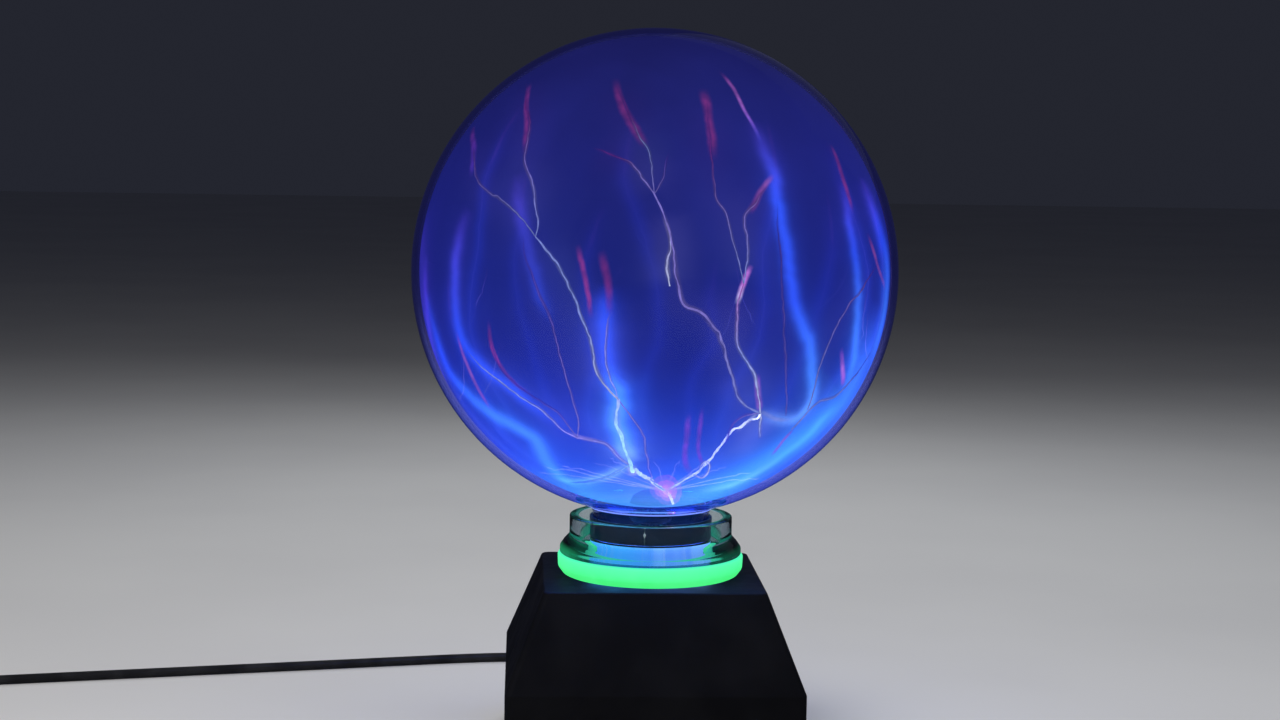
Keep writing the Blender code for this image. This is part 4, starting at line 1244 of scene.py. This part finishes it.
def tape_seam():
    """The tape's glued end: a low ridge with a bead of glue on it, which carries a painted highlight."""
    bead_z = 97.2 * MM
    ridge = prism("ridge", in_mm((-0.2, 0.0), (0.2, 0.0), (0.12, 0.12), (-0.12, 0.12)), 92.9 * MM, 101.0 * MM)
    dome = filleted(in_mm((0, 0.5, 0), (0.5, 0.3, 0.2), (0.6, 0.0, 0), (0, 0.0, 0)), 3)
    bead = moved(turned("bead", dome, 16), (0, 0, bead_z), REARWARD)
    glue = Finish("band_seam", (0.05, 0.08, 0.10), 0.12, coat_weight=1.0, emission_strength=0.35)
    # Painted highlight: a bright white glow in a band at the bead's height, and a faint glow on the rest of
    # the ridge.
    painted_highlight = glue.line(glue.axis("Z"), bead_z, 0.4 * MM, 1.6 * MM)
    glue.shine(glue.mix(painted_highlight, (0.01, 0.03, 0.04), (0.9, 1.0, 1.0)))
    glue.bump(glue.noise(700.0, 2.0), 0.02 * MM)
    seam_at = Vector((math.cos(SEAM_ANGLE), math.sin(SEAM_ANGLE), 0.0)) * 26.15 * MM
    place(joined("band_seam", [ridge, bead]), "base", "dark_band", finish=glue, location=seam_at,
          rotation=(0, 0, SEAM_ANGLE - math.pi / 2))


def foil_sleeve():
    """The sleeve's skin, creased and crinkled on its outside."""
    inside = SLEEVE_RADIUS / MM
    rings = []
    for radius, height in (
        (inside, 70.2), (25.5, 70.2), (25.6, 70.6), (25.6, 80.0), (25.6, 92.0), (25.5, 92.3), (inside, 92.3),
    ):
        ring = []
        for angle in turns(240):
            crease = noise.noise((math.cos(angle) * 5, math.sin(angle) * 5, height * 0.02))
            crinkle = noise.noise((math.cos(angle) * 19, math.sin(angle) * 19, height * 0.05))
            shift = (0.22 * crease + 0.10 * crinkle) if radius > inside else 0.0
            reach = (radius + shift) * MM
            ring.append((reach * math.cos(angle), reach * math.sin(angle), height * MM))
        rings.append(ring)
    return skinned("foil_skin", rings, closed=True, sharp=math.radians(60))


def neck_foil():
    """The sleeve round the lower neck, whose brightness is a painted glow. Its top, just under the tape, is
    painted shade.
    """
    foil = Finish("silver_foil", (0.25, 0.35, 0.6), 0.25, 1.0, emission_strength=1.0)
    # Painted light: the foil's glow, with painted bright streaks and fine glints, cyan towards -X and bluer
    # towards +X.
    painted_streaks = foil.between(foil.noise(60.0, 2.0, stretch=(1.0, 1.0, 0.03)), 0.45, 0.62)
    fine = foil.between(foil.noise(300.0, 3.0, stretch=(1.0, 1.0, 0.03)), 0.50, 0.70)
    across = foil.between(foil.axis("X"), -18 * MM, 12 * MM)
    body = foil.mix(across, (0.08, 0.60, 1.5), (0.14, 0.38, 1.5))
    body = foil.mix(painted_streaks, body, (0.30, 0.68, 1.6))
    body = foil.mix(foil.both(fine, 0.3), body, (0.60, 0.85, 1.3))
    # Painted shade: the sleeve's top, under the tape's edge, is made dark in both colour and glow.
    painted_tape_shade = foil.between(foil.axis("Z"), 90.7 * MM, 91.3 * MM)
    foil.colour(foil.mix(painted_tape_shade, (0.25, 0.35, 0.6), (0.004, 0.010, 0.014)))
    foil.shine(foil.mix(painted_tape_shade, body, (0.001, 0.004, 0.006)))
    foil.rough(0.12, 0.3, 300.0, stretch=(1.0, 1.0, 0.1))
    foil.bump(foil.noise(500.0, 3.0, stretch=(1.0, 1.0, 0.05)), 0.08 * MM)
    place(foil_sleeve(), "base", "silver_foil", ["neck_foil"], foil)


def collar():
    """The clear tube with its flared foot, where the green ring's light in it is a painted glow."""
    tube = filleted(in_mm(
        (30.3, 85.7, 0.3), (37.9, 85.7, 0.3), (38.3, 86.1, 0.4), (38.3, 88.3, 1.2), (36.7, 90.6, 2.0),
        (34.3, 93.2, 3.0), (34.3, 101.6, 0.7), (30.3, 101.6, 0.7)), 6, closed=True)
    clear = clear_glass("clear_acrylic", 1.4, (0.93, 1.0, 0.97))
    absorbing(clear, (0.10, 0.26, 0.42), 110.0)
    height = clear.axis("Z")
    radius = clear.radius()
    # Painted light: the foot glows green in patches for the ring's light in it, and the inner top rim has a
    # painted teal glow.
    flare = clear.both(clear.between(height, 88.0 * MM, 90.6 * MM, 1.0, 0.0),
                       clear.between(radius, 34.0 * MM, 36.5 * MM))
    inner_rim = clear.both(clear.between(height, 100.9 * MM, 101.5 * MM),
                           clear.between(radius, 31.0 * MM, 32.2 * MM, 1.0, 0.0))
    seat_edge = clear.both(clear.between(height, 86.5 * MM, 86.9 * MM, 1.0, 0.0),
                           clear.between(radius, 37.0 * MM, 37.7 * MM))
    tint = clear.mix(clear.between(clear.noise(20.0, 3.0), 0.35, 0.65), (0.93, 1.0, 0.97), (0.90, 0.97, 0.94))
    clear.colour(clear.mix(seat_edge, tint, (0.02, 0.10, 0.16)))
    patches = clear.between(clear.noise(60.0, 3.0, stretch=(1.0, 1.0, 0.4)), 0.35, 0.65, 0.6, 1.0)
    # Painted glint: the foot's glow is brighter towards its left side.
    leftmost = clear.between(clear.axis("X"), -36 * MM, -29 * MM, 1.0, 0.0)
    painted_glint = clear.mix(leftmost, (0.003, 0.07, 0.035), (0.01, 0.26, 0.10))
    lit = clear.mix(clear.both(flare, patches), BLACK, painted_glint)
    clear.shine(clear.mix(inner_rim, lit, (0.03, 0.12, 0.11)))
    clear.feed(clear.shader.inputs["Roughness"], clear.both(flare, 0.12))
    clear.set("Emission Strength", 1.0)
    mesh = turned("collar_skin", tube, 160, closed=True)
    place(mesh, "base", "clear_acrylic", ["clear_collar"], clear).visible_shadow = False


def light_ring():
    """The translucent ring that the LEDs light, with a dark ring painted as shade on its flat top under the
    collar.
    """
    ring = filleted(in_mm(
        (28.2, 72.0, 0.3), (35.5, 72.0, 0.3), (35.5, 77.3, 0), (37.0, 77.3, 0.8), (39.0, 80.0, 2.6),
        (39.2, 85.4, 1.0), (28.2, 85.4, 0.4)), 6, closed=True)
    green = Finish("light_diffuser", (0.03, 0.30, 0.12), 0.5, emission_strength=1.0, specular_ior_level=0.2)
    height = green.between(green.axis("Z"), 78.0 * MM, 86.5 * MM)
    even = green.mix(height, (0.06, 0.90, 0.20), (0.09, 0.92, 0.42))
    clouds = green.between(green.noise(75.0, 2.0), 0.3, 0.7, 0.0, 0.35)
    face = green.mix(clouds, even, (0.12, 0.98, 0.36))
    radius = green.radius()
    outside = green.math("MAXIMUM", green.between(radius, 38.4 * MM, 39.0 * MM),
                         green.between(green.axis("Z"), 84.6 * MM, 85.2 * MM, 1.0, 0.0))
    # Painted shade: a dark ring in the top's glow, where a groove would be; the top itself is flat.
    groove = green.line(radius, 33.2 * MM, 0.7 * MM, 1.0 * MM)
    top_light = green.mix(groove, (0.06, 0.75, 0.42), (0.0, 0.02, 0.05))
    green.shine(green.mix(outside, top_light, face))
    green.bump(green.noise(900.0, 2.0), 0.02 * MM)
    mesh = turned("ring_skin", ring, 160, closed=True)
    place(mesh, "base", "light_diffuser", ["light_ring"], green).visible_glossy = False


# ---- Base ----


def housing():
    """The moulded shell, with softened edges and open holes for the ring, jack, shaft and switch."""
    inner = BASE_HALF - WALL
    corners = [
        (30 * MM, TOP_Z, 0.0), (TOP_HALF, TOP_Z, 1.1 * MM), (BASE_HALF, BREAK_Z, 2.0 * MM),
        (BASE_HALF, BASE_BOTTOM, 0.5 * MM), (inner, BASE_BOTTOM, 0.4 * MM),
        (inner, BREAK_Z - 1.0 * MM, 1.0 * MM), (TOP_HALF - 1.8 * MM, TOP_Z - WALL, 0.8 * MM),
        (30 * MM, TOP_Z - WALL, 0.0),
    ]
    profile = filleted(corners, 5)
    sections = []
    rim_passed = False
    for half, height in profile:
        rim_passed = rim_passed or half < BASE_HALF - 1.0 * MM and height < BREAK_Z
        radius = 1.2 * MM if rim_passed else 3.0 * MM
        sections.append((rounded_square(half, half, radius), height))
    shell = lofted("housing_skin", sections)
    x_switch = SWITCH_X + SWITCH_TRAVEL / 2
    slot = [(x_switch + x, CONTROL_Z + z) for x, z in rounded_square(5.0 * MM, 1.9 * MM, 0.5 * MM, 4)]
    jack_hole = circle(5.8 * MM, 48, (0.0, CONTROL_Z))
    shaft_hole = circle(4.6 * MM, 48, (KNOB_X, CONTROL_Z))
    cutters = [prism("mouth", circle(36.1 * MM, 120), TOP_Z - 7 * MM, TOP_Z + 13 * MM)]
    for outline in (jack_hole, shaft_hole, slot):
        cutters.append(rear_prism("hole", outline, BASE_HALF - 7 * MM, BASE_HALF + 5 * MM))
    place(cut(shell, cutters), "base", "black_plastic", ["housing"])


def corners_of_base(reach):
    """Each corner's number and its place, a reach out along both axes."""
    return enumerate([(x * reach, y * reach, 0) for x in (-1, 1) for y in (-1, 1)], 1)


def feet():
    profile = filleted(in_mm(
        (0, 2.2, 0), (6.5, 2.2, 0.2), (6.5, 0.7, 0.5), (5.8, 0.0, 0.4), (3.4, 0.0, 0.2), (3.0, 0.5, 0.2),
        (0, 0.5, 0)), 4)
    for number, where in corners_of_base(40 * MM):
        foot = turned(f"foot_skin_{number}", profile, 48)
        place(foot, "base", "black_rubber", [f"foot_{number}"], location=where)


def housing_screws():
    """Pan heads with a cross recess, seen from below."""
    profile = filleted(in_mm(
        (0, 0.4, 0), (1.9, 0.45, 0.5), (3.0, 1.1, 0.5), (3.0, 2.2, 0.1), (1.2, 2.2, 0), (1.2, 14.0, 0.3),
        (0, 15.0, 0)), 4)
    for number, where in corners_of_base(50 * MM):
        turn = math.radians(31 * number - 14)
        arms = [bevelled_box("arm", (3.2 * MM, 0.6 * MM, 2.2 * MM), 0.1 * MM, 1) for _ in range(2)]
        for arm, quarter in zip(arms, (0.0, math.pi / 2)):
            moved(arm, (0, 0, 0.3 * MM), (0, 0, turn + quarter))
        screw = cut(turned(f"screw_skin_{number}", profile, 40), arms)
        place(screw, "base", "steel", [f"housing_screw_{number}"], location=where)


# ---- Controls on the rear wall ----


def fluted_knob():
    """Eighteen finger flutes, a domed face with a shallow dish, and a pointer line on its own inlay."""
    steps = 144
    flutes = 18
    levels = filleted(in_mm(
        (3.3, 0.0, 0), (7.2, 0.0, 0.3), (7.5, 0.6, 0.4), (7.0, 9.0, 0.8), (5.9, 10.0, 0.6), (4.8, 9.75, 0.5),
        (0.0, 9.6, 0)), 5)
    levels += in_mm((0.0, 8.0), (3.3, 8.0))
    rings = []
    for radius, height in levels:
        ring = around(radius, height, steps)
        if radius > 6.2 * MM and 0.4 * MM < height < 9.4 * MM:
            depth = 0.42 * MM
            ring = []
            for angle in turns(steps):
                reach = radius - depth * (0.5 + 0.5 * math.cos(flutes * angle)) ** 2
                ring.append((reach * math.cos(angle), reach * math.sin(angle), height))
        rings.append(ring)
    seat = (KNOB_X, BASE_HALF + 1.0 * MM, CONTROL_Z)
    mesh = skinned("knob_skin", rings, closed=True)
    place(mesh, "knob", "control_plastic", ["sensitivity_knob"], location=seat, rotation=REARWARD)
    inlay = bevelled_box("knob_pointer", (0.8 * MM, 5.0 * MM, 0.5 * MM), 0.12 * MM, 2)
    place(moved(inlay, (0, -4.2 * MM, 9.75 * MM)), "knob", "control_plastic", finish=FINISHES["white_print"],
          location=seat, rotation=REARWARD)


def ridged_slider():
    """A slider with four finger ridges across its face."""
    half = 1.6 * MM
    outline = [(-half, 0.0), (half, 0.0), (half, 8.4 * MM)]
    ridges = 4
    for i in range(ridges):
        left = half - 2 * half * i / ridges
        right = half - 2 * half * (i + 1) / ridges
        outline += [
            (left - 0.12 * MM, 8.9 * MM), (right + 0.30 * MM, 8.9 * MM), (right + 0.16 * MM, 8.35 * MM),
        ]
    outline.append((-half, 8.4 * MM))
    mesh = prism("slider_skin", outline, -1.5 * MM, 1.5 * MM)
    bottom = BASE_HALF - WALL - 3.0 * MM
    place(mesh, "slider", "control_plastic", ["mode_slider"], location=(SWITCH_X, bottom, CONTROL_Z))


def jack():
    profile = filleted(in_mm(
        (0.0, 0.7, 0), (0.5, 0.6, 0.2), (0.85, 0.1, 0.2), (0.85, -9.5, 0), (3.1, -9.5, 0), (3.1, 1.3, 0.2),
        (3.5, 1.6, 0.2), (6.5, 1.6, 0.5), (7.2, 1.1, 0.4), (7.2, 0.3, 0.1), (5.4, 0.3, 0), (5.4, -12.0, 0),
        (0.0, -12.0, 0)), 4)
    place(turned("jack_skin", profile, 72), "base", "black_plastic", ["dc_jack"], FINISHES["adapter_plastic"],
          (0, BASE_HALF, CONTROL_Z), REARWARD)


def rear_markings():
    """Printed dial ticks round the knob and three dots over the switch, just proud of the wall."""
    wall = BASE_HALF
    meshes = []
    for i in range(11):
        angle = math.radians(-140 + 28 * i)
        length = 2.4 * MM if i % 5 == 0 else 1.5 * MM
        middle = 9.3 * MM + length / 2
        bar = bevelled_box("tick", (0.45 * MM, 0.1 * MM, length), 0.03 * MM, 1)
        where = (KNOB_X + middle * math.sin(angle), wall, CONTROL_Z + middle * math.cos(angle))
        meshes.append(moved(bar, where, (0, angle, 0)))
    for i in range(3):
        outline = circle(0.55 * MM, 20, (SWITCH_X + i * SWITCH_TRAVEL / 2, CONTROL_Z + 4.4 * MM))
        meshes.append(rear_prism("dot", outline, wall - 0.05 * MM, wall + 0.05 * MM))
    place(joined("rear_markings", meshes), "base", "control_plastic", finish=FINISHES["white_print"])


# ---- Plug, relief and adapter ----


def ribbed(start, radius_start, end, radius_end, count, depth):
    """Profile points of a taper with rounded rings between grooves."""
    points = []
    pitch = (end - start) / count
    for i in range(count):
        low = start + pitch * i
        outer = radius_start + (radius_end - radius_start) * i / count
        points += [(outer, low), (outer, low + pitch * 0.55), (outer - depth, low + pitch * 0.65),
                   (outer - depth, low + pitch * 0.95)]
    return points


def plug():
    profile = in_mm(
        (0.0, 0.0), (4.3, 0.0), (4.75, 0.25), (5.0, 0.8), (5.0, 3.0),
        *ribbed(3.4, 5.0, 13.0, 5.0, 6, 0.35),
        (5.0, 13.2), (5.0, 16.4), (4.8, 17.3), (4.2, 18.6),
        *ribbed(19.2, 4.1, 33.0, 2.9, 7, 0.65),
        (2.6, 33.4), (2.45, 34.7), (2.2, 35.0), (0.0, 35.0),
    )
    return place(turned("plug_skin", profile, 72), "base", "cord_vinyl", ["plug_body"],
                 location=(0, BASE_HALF + 2.5 * MM, CONTROL_Z), rotation=REARWARD)


def relief():
    profile = in_mm(
        (0.0, 0.3), (4.6, 0.3), (4.6, 2.4), (4.3, 2.9),
        *ribbed(3.4, 4.1, 13.0, 2.9, 5, 0.6),
        (2.5, 13.4), (2.4, 14.0), (0.0, 14.0),
    )
    return place(turned("relief_skin", profile, 56), "base", "cord_vinyl", ["adapter_relief"],
                 location=(ADAPTER_X, ADAPTER_HIGH_Y, TAIL_Z), rotation=REARWARD)


def adapter():
    """Two moulded half shells that meet in a groove, a recessed blank panel, and two pierced blades."""
    half_x = 14.0 * MM
    length = ADAPTER_HIGH_Y - ADAPTER_LOW_Y
    middle = Vector((ADAPTER_X, (ADAPTER_HIGH_Y + ADAPTER_LOW_Y) / 2, 20.0 * MM))
    body = bevelled_box("adapter_skin", (2 * half_x, length, 40.0 * MM), 2.5 * MM, 6)
    ring = prism("ring", rounded_square(22 * MM, 34 * MM, 3 * MM), -0.35 * MM, 0.35 * MM)
    keep = prism("keep", rounded_square(19.4 * MM, 29.4 * MM, 2.2 * MM), -1.0 * MM, 1.0 * MM)
    seam = moved(cut(ring, [keep]), (4.0 * MM, 0, 0), (0, math.radians(90), 0))
    panel = prism("panel", rounded_square(15 * MM, 21 * MM, 2 * MM), 0.0, 2.0 * MM)
    panel = moved(panel, (-half_x + 0.35 * MM, 0, 0), (0, math.radians(-90), 0))
    shape = cut(body, [seam, panel])
    made = [place(shape, "base", "black_plastic", ["adapter_body"], FINISHES["adapter_plastic"], middle)]
    blade_length = 16.0 * MM
    blade_x = ADAPTER_X + half_x + 0.3 * MM + blade_length / 2
    for number, side in ((1, -1), (2, 1)):
        blade = bevelled_box(f"blade_skin_{number}", (blade_length, 6.4 * MM, 1.5 * MM), 0.35 * MM, 3)
        hole = moved(prism("hole", circle(1.6 * MM, 32), -3 * MM, 3 * MM), (4.6 * MM, 0, 0))
        where = (blade_x, -10.0 * MM, middle.z + side * BLADE_GAP / 2)
        made.append(place(cut(blade, [hole]), "base", "brass", [f"adapter_blade_{number}"], location=where))
    return made


def dress_frame():
    """Gives each CAD node the finish of its material slot. Only the nodes that no piece replaces are seen."""
    stem_glass = clear_glass("stem_glass", 1.47, (0.95, 0.97, 1.0))
    of_slot = dict(
        FINISHES, globe_glass=stem_glass, clear_acrylic=stem_glass, light_diffuser=FINISHES["led_lens"],
        dark_band=FINISHES["black_plastic"], silver_foil=FINISHES["aluminium"],
    )
    for part in frame["record"]["subparts"]:
        for slot in frame["nodes"][part["node"]].material_slots:
            slot.material = of_slot[part["material_slot"]].material


FINISHES = finishes()
stage()
camera()
power_cord = cord()
tie = coil_tie()
globe()
electrode_ball()
discharge()
hot_spot()
neck_tape()
tape_seam()
neck_foil()
collar()
light_ring()
dress_frame()
housing()
feet()
housing_screws()
fluted_knob()
ridged_slider()
jack()
rear_markings()
plug_skin = plug()
relief_skin = relief()
adapter_pieces = adapter()
